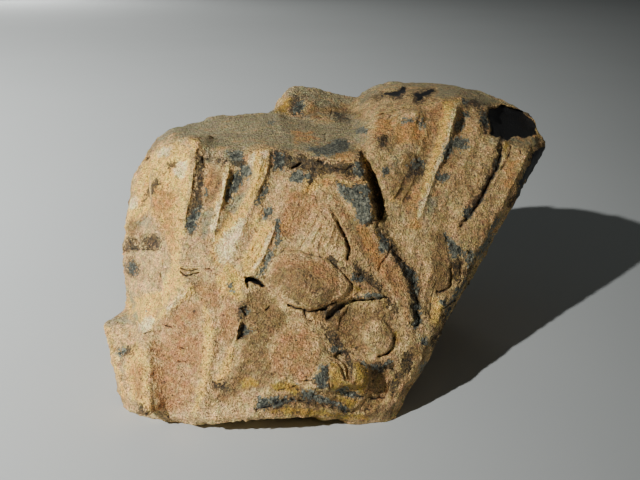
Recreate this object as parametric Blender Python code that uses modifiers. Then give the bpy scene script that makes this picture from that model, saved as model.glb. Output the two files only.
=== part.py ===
"""Euxenite specimen: one broken lump of crystals, grown together as one solid.

The lump is built the way it reads: a few big blocks, then flat crystal faces,
ridges and plates standing on them, then hollows broken out of them. All of it is
joined, roughened and cut flat where it stands. Lengths are in millimetres and
are scaled to metres once, where a point becomes a vertex.

X runs to the right, Y away from the front, Z up; the table is at Z = 0.
"""

import math

import bmesh
import bpy
from mathutils import Vector, noise

MM = 0.001

# --- Driving dimensions -------------------------------------------------------------------
LEFT_FOOT_Y = -58.0   # where the left block's front face would meet the table
LEFT_LEAN = 0.66      # how far that face leans back for each millimetre of height
LEFT_EDGE_X = -34.0   # left of this the face turns away to the side
LEFT_TURN = 0.40
MIDDLE_X = 0.0        # right of this it turns back to meet the right block
MIDDLE_TURN = 0.50
RIGHT_X = 8.5         # a point on the right block's front face, and its two slopes
RIGHT_Y = -21.0
RIGHT_Z = 42.0
RIGHT_LEAN = 0.74
RIGHT_TURN = 0.37
PLATE_ROOT = 7.0      # how deep plates and ridges reach into the block behind
BURIED = -3.0         # foot of the blocks, under the flat cut
GRAIN = 1.0           # size of the grains that the joined lump is rebuilt from
TRIANGLES = 8600      # what the finished solid is thinned to

# Roughness of the broken surface: (size of a bump, height of a bump)
ROUGHNESS = ((16.0, 0.9), (6.0, 0.55), (2.6, 0.28))


def left_face(x, z):
    """Y of the left block's front face, which bends back at both sides."""
    turned = LEFT_TURN * max(0.0, LEFT_EDGE_X - x) + MIDDLE_TURN * max(0.0, x - MIDDLE_X)
    return LEFT_FOOT_Y + LEFT_LEAN * z + turned


def right_face(x, z):
    """Y of the right block's front face."""
    return RIGHT_Y + RIGHT_TURN * (x - RIGHT_X) + RIGHT_LEAN * (z - RIGHT_Z)


def back_face(x, z):
    """Y of the wall at the back, which bulges at half height."""
    return 49.0 - 0.012 * (z - 26.0) ** 2 - 0.004 * (x - 2.0) ** 2


# --- Scene and material -------------------------------------------------------------------
def clear_scene():
    for obj in list(bpy.data.objects):
        bpy.data.objects.remove(obj, do_unlink=True)


def new_collection(name):
    collection = bpy.data.collections.new(name)
    bpy.context.scene.collection.children.link(collection)
    return collection


def linear(value):
    """One sRGB channel, 0 to 255, as linear light."""
    value /= 255.0
    return value / 12.92 if value <= 0.04045 else ((value + 0.055) / 1.055) ** 2.4


def crust_material():
    """Buff, salmon and ochre crust, the colour most of the specimen shows."""
    material = bpy.data.materials.new("buff_crust")
    material.use_nodes = True
    shader = material.node_tree.nodes["Principled BSDF"]
    shader.inputs["Base Color"].default_value = (linear(168), linear(130), linear(92), 1.0)
    shader.inputs["Roughness"].default_value = 0.85
    shader.inputs["Metallic"].default_value = 0.0
    return material


# --- Solids made from their corners ---------------------------------------------------------
def hull(name, corners, collection):
    """A convex solid with the given corners, kept out of the render."""
    mesh = bpy.data.meshes.new(name)
    shape = bmesh.new()
    for corner in corners:
        shape.verts.new(Vector(corner) * MM)
    result = bmesh.ops.convex_hull(shape, input=shape.verts)
    unused = [item for item in result["geom_interior"] if isinstance(item, bmesh.types.BMVert)]
    bmesh.ops.delete(shape, geom=unused, context="VERTS")
    bmesh.ops.recalc_face_normals(shape, faces=shape.faces)
    shape.to_mesh(mesh)
    shape.free()
    solid = bpy.data.objects.new(name, mesh)
    solid.hide_render = True
    solid.display_type = "WIRE"
    collection.objects.link(solid)
    return solid


def plate(name, face, rise, outline, collection, swell=0.0, root=PLATE_ROOT):
    """A plate standing proud of a face. A corner's third number is its own rise, and
    `swell` adds a crown in the middle."""
    corners = []
    for x, z, *own_rise in outline:
        proud = own_rise[0] if own_rise else rise
        corners += [(x, face(x, z) - proud, z), (x, face(x, z) + root, z)]
    if swell:
        x = sum(point[0] for point in outline) / len(outline)
        z = sum(point[1] for point in outline) / len(outline)
        corners.append((x, face(x, z) - rise - swell, z))
    return hull(name, corners, collection)


def ridge(name, face, rise, head, foot, collection, gentle=3.2, steep=0.9, crest=0.9,
          taper=0.8, fade=0.15):
    """A long crystal edge, gentle to the left and steep to the right, that narrows by
    `taper` and sinks to `fade` of its rise at its foot."""
    corners = []
    for (x, z), scale, height in ((head, 1.0, rise), (foot, taper, rise * fade)):
        proud = face(x, z) - height
        sunk = face(x, z) + 0.6
        half = crest * scale / 2
        corners += [(x - half, proud, z), (x + half, proud, z)]
        corners += [(x - half - gentle * scale, sunk, z), (x + half + steep * scale, sunk, z)]
        corners += [(x - half - gentle * scale, sunk + PLATE_ROOT, z)]
        corners += [(x + half + steep * scale, sunk + PLATE_ROOT, z)]
    return hull(name, corners, collection)


def hollow(name, face, depth, outline, collection, floor=0.55, clear=7.0):
    """A tapering cutter: the outline in front of the face, a smaller one at its floor."""
    x_mid = sum(point[0] for point in outline) / len(outline)
    z_mid = sum(point[1] for point in outline) / len(outline)
    corners = []
    for x, z in outline:
        corners.append((x, face(x, z) - clear, z))
        x_in = x_mid + (x - x_mid) * floor
        z_in = z_mid + (z - z_mid) * floor
        corners.append((x_in, face(x_in, z_in) + depth, z_in))
    return hull(name, corners, collection)


# --- Blocks ---------------------------------------------------------------------------------
def left_block(lumps):
    """Blunt front, flat dusty top and steep left side."""
    hull("left_block", [
        # lower front edge, from the left contact to the right contact
        (-46, -41, 0), (-39, -47, 3), (-31.5, -52.5, 5), (-25, -53.5, 6.5), (-19, -54, 7.5),
        (-13, -53, 7), (-7, -51, 6), (0, -46.5, 3), (8, -42.5, 0),
        # front edge of the flat top
        (-35.5, -18, 58.5), (-27, -20, 56.5), (-17, -19, 58), (-7, -20.5, 55), (2.5, -20, 56.5),
        # edge between the front and the left side
        (-36.5, -26, 47), (-38, -37, 28.5), (-43.5, -42, 17),
        # right edge, beside the right block
        (8.5, -24, 42.5), (14, -32, 29), (15, -38.5, 18),
        # left side
        (-45.5, 7, 58), (-50.5, -2, 52.5), (-53.5, -10, 43), (-54.5, -16, 34), (-54, -20, 22),
        (-53.5, -24, 12), (-51.5, -31, -1),
        # back edge of the flat top
        (-37.5, 14, 58.5), (-29, 18, 59.5), (-19, 21, 60), (0.5, 27, 59),
        # back and foot
        (-48.5, 33, 34), (-36.5, 37, 52), (13.5, 43, 50), (13.5, 43, BURIED),
        (-44.5, 25, BURIED), (-42.5, -38, BURIED), (5.5, -35, BURIED),
    ], lumps)


def right_block(lumps):
    """A fan of crystals that leans back and over to the right."""
    hull("right_block", [
        # long right edge, from the contact up to the tip
        (8, -42, 0), (13, -43, 8), (18, -37, 14), (24, -27.5, 20.5), (31.5, -18.5, 29),
        (36.5, -14, 35), (42, -8.5, 44), (49, 2, 49.5), (56, 21, 49.5), (57, 24, 51),
        # top, from the tip to the left
        (51.5, 19, 59), (49.5, 25, 59.5), (44, 29, 61), (37, 32, 64), (32, 34, 65),
        (26.5, 36, 66), (15, 40, 64.5), (10, 42, 63),
        # front edge of the top
        (41, 3, 56), (29.5, 8, 65), (18, 7, 64.5), (7.5, 1, 63.5),
        # edge beside the left block
        (5, -13.5, 57.5), (8.5, -21, 42), (15, -31, 28), (15.5, -37, 18),
        # back and foot
        (53.5, 33, 40), (41.5, 43, 22), (23.5, 45, BURIED), (25.5, 9, BURIED),
        (10.5, -41, BURIED), (-6.5, 39, BURIED), (-6.5, 45, 50),
    ], lumps)


def back_block(lumps):
    """The broken wall behind both."""
    hull("back_block", [
        (-46.5, 31, 20), (-42.5, 39, 38), (-28.5, 45, 50), (-0.5, 48, 52), (19.5, 47, 56),
        (37.5, 39, 56), (47.5, 39, 40), (33.5, 46, 24), (3.5, 50, 22), (-26.5, 47, 18),
        (-42.5, 37, BURIED), (-6.5, 46, BURIED), (23.5, 45, BURIED),
        (-36.5, 0, 30), (23.5, 9, 30),
    ], lumps)


def knob(lumps):
    """Low knob standing behind the flat top."""
    hull("knob", [
        (-18.5, 24, 59.5), (-16, 27, 64.5), (-14, 31, 65.5), (-7.5, 33, 64.5), (2.5, 36, 61),
        (4.5, 31, 58), (-3.5, 19, 58), (-16, 19, 58),
        (-21.5, 41, 50), (5.5, 45, 50), (5.5, 23, 48), (-21.5, 23, 48),
    ], lumps)


def left_foot(lumps):
    """Foot that sticks out at the lower left."""
    hull("left_foot", [
        (-58.5, -27, 18), (-57.5, -25, 18.5), (-54.5, -21, 17.5), (-50.5, -28, 16.5),
        (-53.5, -34, 3.5), (-52, -36, -1.5), (-46, -40.5, 0), (-43.5, -36, 15),
        (-51.5, -19, BURIED), (-53.5, -9, 2), (-53.5, -6, 20), (-44.5, -36, BURIED),
        (-36.5, -11, 20),
    ], lumps)


# --- Crystals on the front --------------------------------------------------------------------
def left_front_crystals(lumps):
    face = left_face
    plate("prow", face, 1.5, [
        (-4, 53.5, 0.3), (3.5, 56, 1), (4.5, 51.5), (6, 45), (4, 43, 1), (1.5, 44.5, 0.5),
        (-2, 48.5, 0.3)], lumps)
    plate("crystal_face", face, 2.5, [
        (-6.5, 49, 0.8), (-2.5, 44.5), (0.5, 38.5), (0.5, 36.5, 2), (-12, 38.5, 1),
        (-14.5, 38, 0.4), (-9.5, 44, 0.6)], lumps)
    plate("half_round", face, 3.0, [
        (-16, 38.5, 0.8), (-12, 39, 1.2), (-6.5, 38, 1.5), (-2, 35, 2.5), (1, 32.5), (-2, 30),
        (-6, 28.5), (-9.5, 28.5), (-13, 29, 2.6), (-17, 31, 2), (-19, 32.5, 1.5),
        (-17.5, 34.5, 1)], lumps, swell=1.4)
    plate("ledge", face, 1.1, [
        (-2, 32.5, 0), (8.5, 30.5, 0.3), (8.5, 28.5), (0.5, 29.5), (-3, 28.5, 1)], lumps)
    plate("rounded_lump", face, 0.5, [
        (3, 22.5), (4.5, 24), (7.5, 24.5), (10, 23), (11, 20.5), (9.5, 18), (6.5, 17.5),
        (3.5, 19.5)], lumps, swell=1.0)
    plate("belly", face, 0.6, [
        (-24.5, 26.5), (-13, 25.5), (-6, 23.5), (-4.5, 15.5), (-7, 12.5), (-20, 13.5),
        (-25, 15.5)], lumps, swell=1.2)
    plate("ochre_block_left", face, 1.2, [
        (-4.5, 17.5, 0.6), (0.5, 17.5, 1), (0.5, 12.5), (-4.5, 12)], lumps)
    plate("ochre_block_right", face, 1.5, [
        (1, 17.5, 0.8), (4.5, 16, 1.2), (4.5, 11.5), (1, 12)], lumps)
    plate("dark_crystal", face, 1.6, [
        (-8.5, 17.5, 0.4), (-4.5, 17), (-5, 13), (-8, 13)], lumps)
    plate("saddle", face, 0.4, [
        (-1, 43.5), (7, 42), (13, 34.5), (15, 26.5), (14, 21.5), (7, 24.5), (0.5, 30.5)], lumps)
    plate("left_shoulder", face, 0.8, [
        (-44.5, 55.5, 0.2), (-38, 58), (-37, 42), (-46, 41, 0.2)], lumps)
    ridge("ridge_1", face, 2.4, (-35, 60.5), (-37, 38), lumps)
    ridge("ridge_2", face, 2.2, (-27.5, 56.5), (-32, 36), lumps)
    ridge("ridge_3", face, 2.6, (-20, 59), (-25, 40), lumps, gentle=2.2, crest=3.2, taper=0.45)
    ridge("ridge_4", face, 2.2, (-17, 43.5), (-22, 31), lumps, fade=0.5)
    ridge("ridge_5", face, 1.6, (-43.5, 6), (-45, 21), lumps, gentle=2.4, steep=1.6, taper=1.0)
    ridge("ridge_6", face, 1.4, (-35.5, 33), (-42, 25.5), lumps, gentle=1.5, steep=1.5)
    ridge("ridge_7", face, 1.0, (-31.5, 9), (-30.5, 26), lumps, gentle=3.0, steep=2.6, crest=1.4)
    ridge("ridge_8", face, 1.3, (-24.5, 26.5), (-27, 13), lumps, gentle=2.4, steep=1.2)
    ridge("ridge_9", face, 0.9, (-11.5, 52), (-14, 41.5), lumps, gentle=2.6, steep=1.6)


def right_front_crystals(lumps):
    face = right_face
    ridge("fan_1", face, 2.4, (28.5, 65), (18.5, 44), lumps)
    ridge("fan_2", face, 1.4, (17.5, 64), (10.5, 48.5), lumps, gentle=2.6)
    ridge("fan_3", face, 1.6, (38.5, 56), (30, 41.5), lumps, steep=0.6)
    ridge("fan_4", face, 1.6, (46, 54.5), (34, 37), lumps, steep=2.0, crest=1.4)
    ridge("fan_5", face, 1.4, (22.5, 40), (16, 20), lumps, gentle=2.2)
    ridge("fan_6", face, 1.0, (34.5, 62), (26, 45.5), lumps, gentle=2.2, steep=1.2)
    hull("right_rim", [
        (16.5, -38.5, 16), (18.5, -37.5, 16), (6.5, -44.5, 3.5), (9.5, -44, 2.5),
        (13.5, -34, 17), (19.5, -33, 15), (5, -40, 4), (12.5, -41.5, 2.5),
        (15, -28, 15), (8, -36, 3)], lumps)


def hollows_of_the_front(cutters):
    face = left_face
    hollow("recess", face, 6.0, [
        (4, 59), (6.5, 54), (8.5, 49.5), (9, 45), (7, 43), (6, 46), (5.5, 50.5), (4, 53)], cutters)
    hollow("lip_gap", face, 4.0, [
        (-23.5, 33), (-21, 33), (-18.5, 31.5), (-19.5, 31), (-23, 32)], cutters)
    hollow("left_panel", face, 1.2, [
        (-42.5, 19), (-34, 21.5), (-32, 19), (-33, 9), (-41, 7), (-42.5, 8)], cutters, floor=0.85)
    hollow("pit", face, 2.4, [(-25, 25), (-21, 24), (-24, 21)], cutters)
    hollow("brown_hollow", face, 3.2, [
        (5, 14.5), (9, 14), (9.5, 11), (7.5, 8), (5, 8)], cutters)
    hollow("pocket", face, 2.4, [
        (-3, 19), (0, 18.5), (0.5, 15.5), (-1.5, 14), (-2.5, 16)], cutters)
    hollow("flute_1", face, 1.3, [(-34, 56.5), (-29, 55.5), (-32, 41), (-35.5, 41)], cutters)
    hollow("flute_2", face, 1.3, [(-26, 55), (-22.5, 54), (-25.5, 44), (-29.5, 42)], cutters)
    hollow("flute_3", face, 1.0, [(-17.5, 52.5), (-13.5, 51), (-16.5, 44), (-21, 43)], cutters)
    face = right_face
    hollow("groove", face, 3.0, [(39, 56.5), (41, 56), (38.5, 48), (36, 45.5)], cutters)
    hollow("groove_foot", face, 3.0, [
        (36, 45.5), (38.5, 48.5), (37, 45.5), (32.5, 42), (31, 42), (34.5, 46.5)], cutters)
    hollow("fan_flute_1", face, 1.5, [(10.5, 63), (16.5, 63), (14, 56), (8, 52.5)], cutters)
    hollow("fan_flute_2", face, 1.3, [(19.5, 63), (25.5, 63), (19, 49.5), (14, 45.5)], cutters)
    hollow("fan_flute_3", face, 1.3, [(30.5, 62.5), (34, 61), (27.5, 48.5), (24.5, 47)], cutters)
    hollow("fan_flute_4", face, 1.2, [(23, 45), (28.5, 46.5), (25.5, 36.5), (20, 32.5)], cutters)
    hull("black_hollow", [
        # mouth, a little in front of the stone
        (35.5, 8, 65), (41, 12, 68), (53, 12, 65), (55, 8, 57), (44, -1, 55), (35.5, -4, 57),
        # floor
        (43, 24, 60), (50, 27, 58), (51, 23, 55.5), (42, 17, 56.5)], cutters)
    hull("side_hollow", [
        (-60, -24, 36), (-60, -6, 36), (-60, -24, 31), (-60, -6, 31), (-44, -29, 34.5),
        (-51, -17, 34), (-51, -12, 33), (-44, -31, 31.5), (-45, -34, 33)], cutters)
    hull("undercut", [
        # a low wedge under the lower front edge, between the two contacts
        (-42, -58, BURIED), (4, -58, BURIED), (-33, -58, 4.5), (-19, -58, 7), (-5, -58, 4.5),
        (-33, -50, 3.8), (-19, -51, 6), (-5, -48, 4),
        (-34, -40, BURIED), (1, -40, BURIED), (-30, -41, 1), (-2, -41, 1)], cutters)


# --- Sides and back ---------------------------------------------------------------------------
def step(name, side, outline, depth, collection, clear=9.0):
    """A cutter that takes a layer off one side. The outline is measured up along the
    crystals and across them, from the side's own corner."""
    corner, along, across, outward = side
    corners = []
    for up, over in outline:
        place = Vector(corner) + Vector(along) * up + Vector(across) * over
        corners += [place + Vector(outward) * clear, place - Vector(outward) * depth]
    return hull(name, corners, collection)


def scoop(name, centre, radius, collection):
    """A shell-shaped break: a ball taken out of the surface."""
    mesh = bpy.data.meshes.new(name)
    ball = bmesh.new()
    bmesh.ops.create_icosphere(ball, subdivisions=3, radius=radius * MM)
    bmesh.ops.translate(ball, verts=ball.verts, vec=Vector(centre) * MM)
    ball.to_mesh(mesh)
    ball.free()
    solid = bpy.data.objects.new(name, mesh)
    solid.hide_render = True
    solid.display_type = "WIRE"
    collection.objects.link(solid)
    return solid


def back_crystals(lumps):
    """Thin plates fanned across the back, each a little proud of the next."""
    count = 7
    for index in range(count):
        share = index / (count - 1)
        head_x = -37.0 + 80.0 * share
        foot_x = -30.0 + 44.0 * share
        proud = 2.0 if index % 2 else 4.0
        head_z = 48.0 + 9.0 * math.sin(math.pi * share)
        foot_z = 5.0 + 8.0 * (index % 3)
        width = 5.0 + 2.0 * (index % 2)
        corners = []
        for x, z, half in ((head_x, head_z, width), (foot_x, foot_z, width * 0.6)):
            y = back_face(x, z)
            corners += [(x - half * 0.2, y + proud, z), (x + half * 0.7, y + proud - 0.8, z)]
            corners += [(x - half, y - 1.0, z), (x + half, y - 1.0, z)]
            corners += [(x - half, y - 12.0, z), (x + half, y - 12.0, z)]
        hull("back_plate_%d" % (index + 1), corners, lumps)


def side_breaks(cutters):
    """Layers broken off the right side, the back and the left side."""
    right = ((8, -42, 0), (0.507, 0.682, 0.527), (-0.299, 0.713, -0.635), (0.808, -0.164, -0.565))
    step("right_layer_1", right, [(34, 11), (104, 8), (104, 90), (20, 90)], 2.2, cutters)
    step("right_layer_2", right, [(52, 22), (112, 19), (112, 90), (30, 90)], 5.0, cutters)
    step("right_layer_3", right, [(66, 33), (92, 31), (88, 56), (60, 60)], 7.5, cutters)
    back = ((-44, 50, 0), (0.1, -0.05, 1.0), (1.0, 0.0, 0.0), (0.0, 1.0, 0.0))
    step("back_layer_1", back, [(30, -12), (70, -12), (70, 20), (46, 24), (28, 14)], 6.0, cutters)
    step("back_layer_2", back, [(-8, 52), (34, 58), (30, 100), (-8, 100)], 4.5, cutters)
    step("back_layer_3", back, [(-8, -12), (12, -12), (16, 30), (-8, 36)], 5.0, cutters)
    left = ((-55, -18, 0), (0.05, 0.12, 1.0), (0.15, 0.98, 0.0), (-1.0, 0.15, 0.0))
    step("left_layer_1", left, [(-8, 16), (26, 20), (30, 80), (-8, 80)], 1.8, cutters)
    step("left_layer_2", left, [(22, 26), (70, 22), (70, 80), (18, 80)], 4.5, cutters)
    step("left_layer_3", left, [(-8, 36), (20, 34), (18, 80), (-8, 80)], 6.5, cutters)
    scoop("back_scoop", (14, 78, 30), 31.0, cutters)
    scoop("left_scoop", (-78, 18, 40), 29.0, cutters)


def table_cutter(cutters):
    """Everything under the table level, which leaves the flat break to stand on."""
    return hull("table_cut", [
        (x, y, z) for x in (-90, 90) for y in (-90, 90) for z in (-20, 0)], cutters)


# --- Joining ------------------------------------------------------------------------------------
def add_boolean(target, operation, collection=None, solid=None):
    cut = target.modifiers.new(operation.lower(), "BOOLEAN")
    cut.operation = operation
    cut.solver = "EXACT"
    if collection:
        cut.operand_type = "COLLECTION"
        cut.collection = collection
    else:
        cut.object = solid


def evaluated_mesh(obj):
    """The mesh that an object's modifiers make."""
    graph = bpy.context.evaluated_depsgraph_get()
    return bpy.data.meshes.new_from_object(obj.evaluated_get(graph), depsgraph=graph)


def roughen(mesh):
    """Moves each point along its normal by layers of noise, as a broken surface has."""
    shape = bmesh.new()
    shape.from_mesh(mesh)
    shape.normal_update()
    moves = []
    for vert in shape.verts:
        place = vert.co / MM
        height = 0.0
        for size, amount in ROUGHNESS:
            height += amount * noise.noise(place / size + Vector((size, 0.0, 3.7)))
        moves.append(vert.normal * height * MM)
    for vert, move in zip(shape.verts, moves):
        vert.co += move
    shape.to_mesh(mesh)
    shape.free()


def thin(obj, wanted):
    """Collapses the flatter places until about `wanted` triangles are left."""
    obj.data.calc_loop_triangles()
    thinner = obj.modifiers.new("thin", "DECIMATE")
    thinner.decimate_type = "COLLAPSE"
    thinner.ratio = wanted / len(obj.data.loop_triangles)
    thinner.use_collapse_triangulate = True


def centre_on_origin(mesh):
    """Puts the middle of the bounding box's bottom at the origin."""
    xs = [vert.co.x for vert in mesh.vertices]
    ys = [vert.co.y for vert in mesh.vertices]
    zs = [vert.co.z for vert in mesh.vertices]
    middle = Vector(((min(xs) + max(xs)) / 2, (min(ys) + max(ys)) / 2, min(zs)))
    for vert in mesh.vertices:
        vert.co -= middle


def build_specimen():
    visible = new_collection("euxenite_specimen")
    lumps = new_collection("lumps")
    cutters = new_collection("hollows")
    table = new_collection("table")

    left_block(lumps)
    right_block(lumps)
    back_block(lumps)
    knob(lumps)
    left_foot(lumps)
    left_front_crystals(lumps)
    right_front_crystals(lumps)
    back_crystals(lumps)
    hollows_of_the_front(cutters)
    side_breaks(cutters)

    core = hull("core", [
        (x, y, z) for x in (-30, 10) for y in (-20, 30) for z in (5, 45)], lumps)
    lumps.objects.unlink(core)
    visible.objects.link(core)
    add_boolean(core, "UNION", collection=lumps)
    add_boolean(core, "DIFFERENCE", collection=cutters)
    grains = core.modifiers.new("grains", "REMESH")
    grains.mode = "VOXEL"
    grains.voxel_size = GRAIN * MM

    rough = evaluated_mesh(core)
    roughen(rough)
    bpy.data.objects.remove(core, do_unlink=True)

    work = bpy.data.objects.new("work", rough)
    visible.objects.link(work)
    thin(work, TRIANGLES)
    add_boolean(work, "DIFFERENCE", solid=table_cutter(table))
    solid = evaluated_mesh(work)
    bpy.data.objects.remove(work, do_unlink=True)

    centre_on_origin(solid)
    solid.name = "euxenite_specimen"
    solid.materials.clear()
    solid.materials.append(crust_material())
    specimen = bpy.data.objects.new("euxenite_specimen", solid)
    visible.objects.link(specimen)
    return specimen


clear_scene()
build_specimen()
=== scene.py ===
"""Euxenite specimen: the looks of a broken lump of crystals under a buff crust.

The lump is one piece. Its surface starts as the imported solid, is rebuilt from finer
grains, and is then worked over: crystal ridges, flutes and cracks where the front shows
them, and the same kinds of break on the sides, back and top. Zones of crust, dust and
bare mineral are kept with the points, and the finish reads them.

The front's features are placed in a view: what an eye at EYE sees, 640 across and 480
down. One step in that view is about a quarter of a millimetre on the stone.
"""

import math

import bmesh
import bpy
import numpy as np
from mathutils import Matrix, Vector, noise


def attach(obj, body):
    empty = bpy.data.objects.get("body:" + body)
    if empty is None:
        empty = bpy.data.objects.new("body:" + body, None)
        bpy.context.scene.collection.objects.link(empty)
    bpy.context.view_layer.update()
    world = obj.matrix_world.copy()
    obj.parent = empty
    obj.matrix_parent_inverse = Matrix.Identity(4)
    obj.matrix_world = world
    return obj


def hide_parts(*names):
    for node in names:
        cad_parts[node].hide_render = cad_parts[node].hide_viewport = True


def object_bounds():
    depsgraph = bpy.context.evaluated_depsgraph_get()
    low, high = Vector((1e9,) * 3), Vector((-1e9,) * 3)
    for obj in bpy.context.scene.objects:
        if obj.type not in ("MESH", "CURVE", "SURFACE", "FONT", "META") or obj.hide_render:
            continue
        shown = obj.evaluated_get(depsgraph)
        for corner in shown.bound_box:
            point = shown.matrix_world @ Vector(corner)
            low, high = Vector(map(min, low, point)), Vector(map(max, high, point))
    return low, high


bl_info = {
    "name": "Euxenite Specimen",
    "version": (1, 0, 0),
    "blender": (4, 5, 0),
    "location": "View3D > Sidebar > Euxenite",
    "description": "Builds a lump of euxenite crystals with its crust, and the stage it stands on",
    "category": "Object",
}

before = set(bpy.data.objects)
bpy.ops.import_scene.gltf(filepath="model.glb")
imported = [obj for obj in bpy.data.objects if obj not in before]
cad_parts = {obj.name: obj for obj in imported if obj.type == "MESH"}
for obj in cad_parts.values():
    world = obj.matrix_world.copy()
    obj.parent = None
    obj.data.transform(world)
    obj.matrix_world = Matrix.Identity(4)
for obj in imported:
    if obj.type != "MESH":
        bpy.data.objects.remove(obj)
CAD_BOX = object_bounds()
SOLID = "euxenite_specimen"
MM = 0.001                      # metres

# --- The view that places the front's features ----------------------------------------------
EYE = (-5.94, -229.57, 106.3)   # millimetres
VIEW_WIDTH, VIEW_HEIGHT = 640, 480
FOCAL = 924.0                   # focal length in steps of the view
HORIZON_RISE = 305.0            # how far above the view's middle the horizon lies
PITCH = math.atan(HORIZON_RISE / FOCAL)   # how far down the eye looks, in radians
FAR = 1e9                       # farther than anything in the view
SENSOR = 36.0                   # millimetres
NEAR_CLIP = 0.01                # metres

# --- Finish ---------------------------------------------------------------------------------
CRUST_DULL, MINERAL_DULL, BREAK_DULL = 0.86, 0.55, 0.6   # roughness of the three surfaces
REFRACTION = 1.6                # index of refraction of all three
FINE_RELIEF = 0.7               # millimetres
BREAK_RELIEF = 0.3              # the share of it that a fresh break keeps
CARD_DULL, CARD_SHINE = 0.95, 0.2

# --- Stage, in metres and watts, but aims in millimetres ------------------------------------
FLOOR_RADIUS = 4.0
CARD = ("#BCC0BE", "#C3C7C5")   # the floor's two near tones
AIR, AIR_LIGHT = "#E2E7E6", 0.06
LIT = (0.0, 0.0, 30.0)          # the spot inside the lump that the lamps stand round
# Lamps: kind, the way the light travels, distance, power, aim and the rest of the settings
LAMPS = {
    "key_lamp": ("SPOT", (1.002, 1.291, -1.0), 1.1, 590.0, (-1280.0, -350.0, 0.0),
                 {"spot_size": math.radians(179), "spot_blend": 1.0,
                  "shadow_soft_size": 0.012}),
    "back_lamp": ("AREA", (0.35, -0.9, -0.12), 1.5, 1.8, LIT, {"shape": "DISK", "size": 0.4}),
    "side_lamp": ("AREA", (-1.0, 0.1, -0.15), 1.5, 0.8, LIT, {"shape": "DISK", "size": 0.4}),
}

# --- Crystals -------------------------------------------------------------------------------
FAN_ROOT = (-69.0, -51.0, -151.0)   # the crystals fan out of here, far below the lump
FAN_REACH = 200.0                   # how far from there their spacing is measured
SADDLE_ALONG = (0.45, -0.70, -1.0)  # the run of the crystals between the two blocks
RUN_LENGTH = 14                     # spacings along which a fine ridge keeps its height
BACK_SCOOP = ((14.6, 79.4, 30.0), 31.0)    # centre and radius of two shell-shaped breaks
LEFT_SCOOP = ((-77.4, 19.4, 40.0), 29.0)
SEED = 4                            # of the noise that nudges lines and tilts small faces

# --- Surface work, in millimetres -----------------------------------------------------------
FOOT = 0.3                          # points below this are the level that it stands on
FOOT_SOFT, FOOT_FREE = 0.4, 1.6     # from these heights, smoothed and worked in full
FAN_SPACING, SADDLE_SPACING, HAIR_SPACING, LEDGE_SPACING = 2.4, 2.2, 1.0, 7.0
FACE_SIZE, FLAKE_SIZE = 6.5, 2.6    # small flat faces, and the flakes on them
CRUMB_SIZE, GRAIN_SIZE = 1.1, 0.62
STRIPED_SIZE, SWELL_SIZE = 9.0, 5.0  # of the striped patches and of the low swellings
SWELL = 0.2                         # height of the swellings
STREAK_SPACING, STREAK_SIZE = 5.5, 6.0     # of the streaks on the hidden sides
BROAD_SIZE, OTHER_SIZE = 16.0, 11.0        # of the patches on the hidden sides
SCOOP_WALL = (1.6, 0.4)             # distances from a scoop's wall: unmarked, and marked in full
WELD = 1e-6                         # metres: corners closer than this are one
MARGIN = 0.01                       # kept between the surface and the solid's box
SHARP = math.radians(48)            # an edge that turns more than this shades crisply

# How squarely a point faces the eye in front (a cosine), for what is done to it there
DIVIDED, DIVIDED_AGAIN, DRAWN = 0.05, 0.25, 0.1
WORKED, SEEN = (0.0, 0.16), (-0.2, -0.05)   # from not at all to in full

# Nudges of drawn lines and of zone edges, broad and small, in view steps
LINE_NUDGE, ZONE_NUDGE = (0.6, 0.45), (2.0, 1.4)
BROAD_WAVE, SMALL_WAVE = 8, 3       # how long the waves of the nudges are
CRACK_WAVE = 5                      # and of the weak places in cracks

# The lump's outline in the view, from the lower left round over the top.
OUTLINE = (
    (126, 415), (102, 323), (103, 320), (108, 318), (122, 314), (126, 306), (125, 297), (124, 267),
    (122, 245), (126, 223), (128, 204), (135, 178), (147, 156), (154, 143), (171, 128), (202, 121),
    (235, 115), (272, 112), (287, 91), (294, 86), (317, 88), (336, 94), (354, 98), (362, 94),
    (376, 88), (394, 83), (435, 80), (454, 85), (472, 90), (498, 101), (520, 110), (533, 115),
    (539, 134), (547, 144), (542, 156), (516, 197), (494, 238), (476, 267), (450, 315), (428, 356),
    (405, 393), (391, 421), (385, 424), (361, 421), (317, 417), (287, 418), (235, 419), (206, 423),
    (176, 421), (147, 418))
VIEW_MIDDLE = (318, 262)        # of the lump, where its outline is measured from

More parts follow.
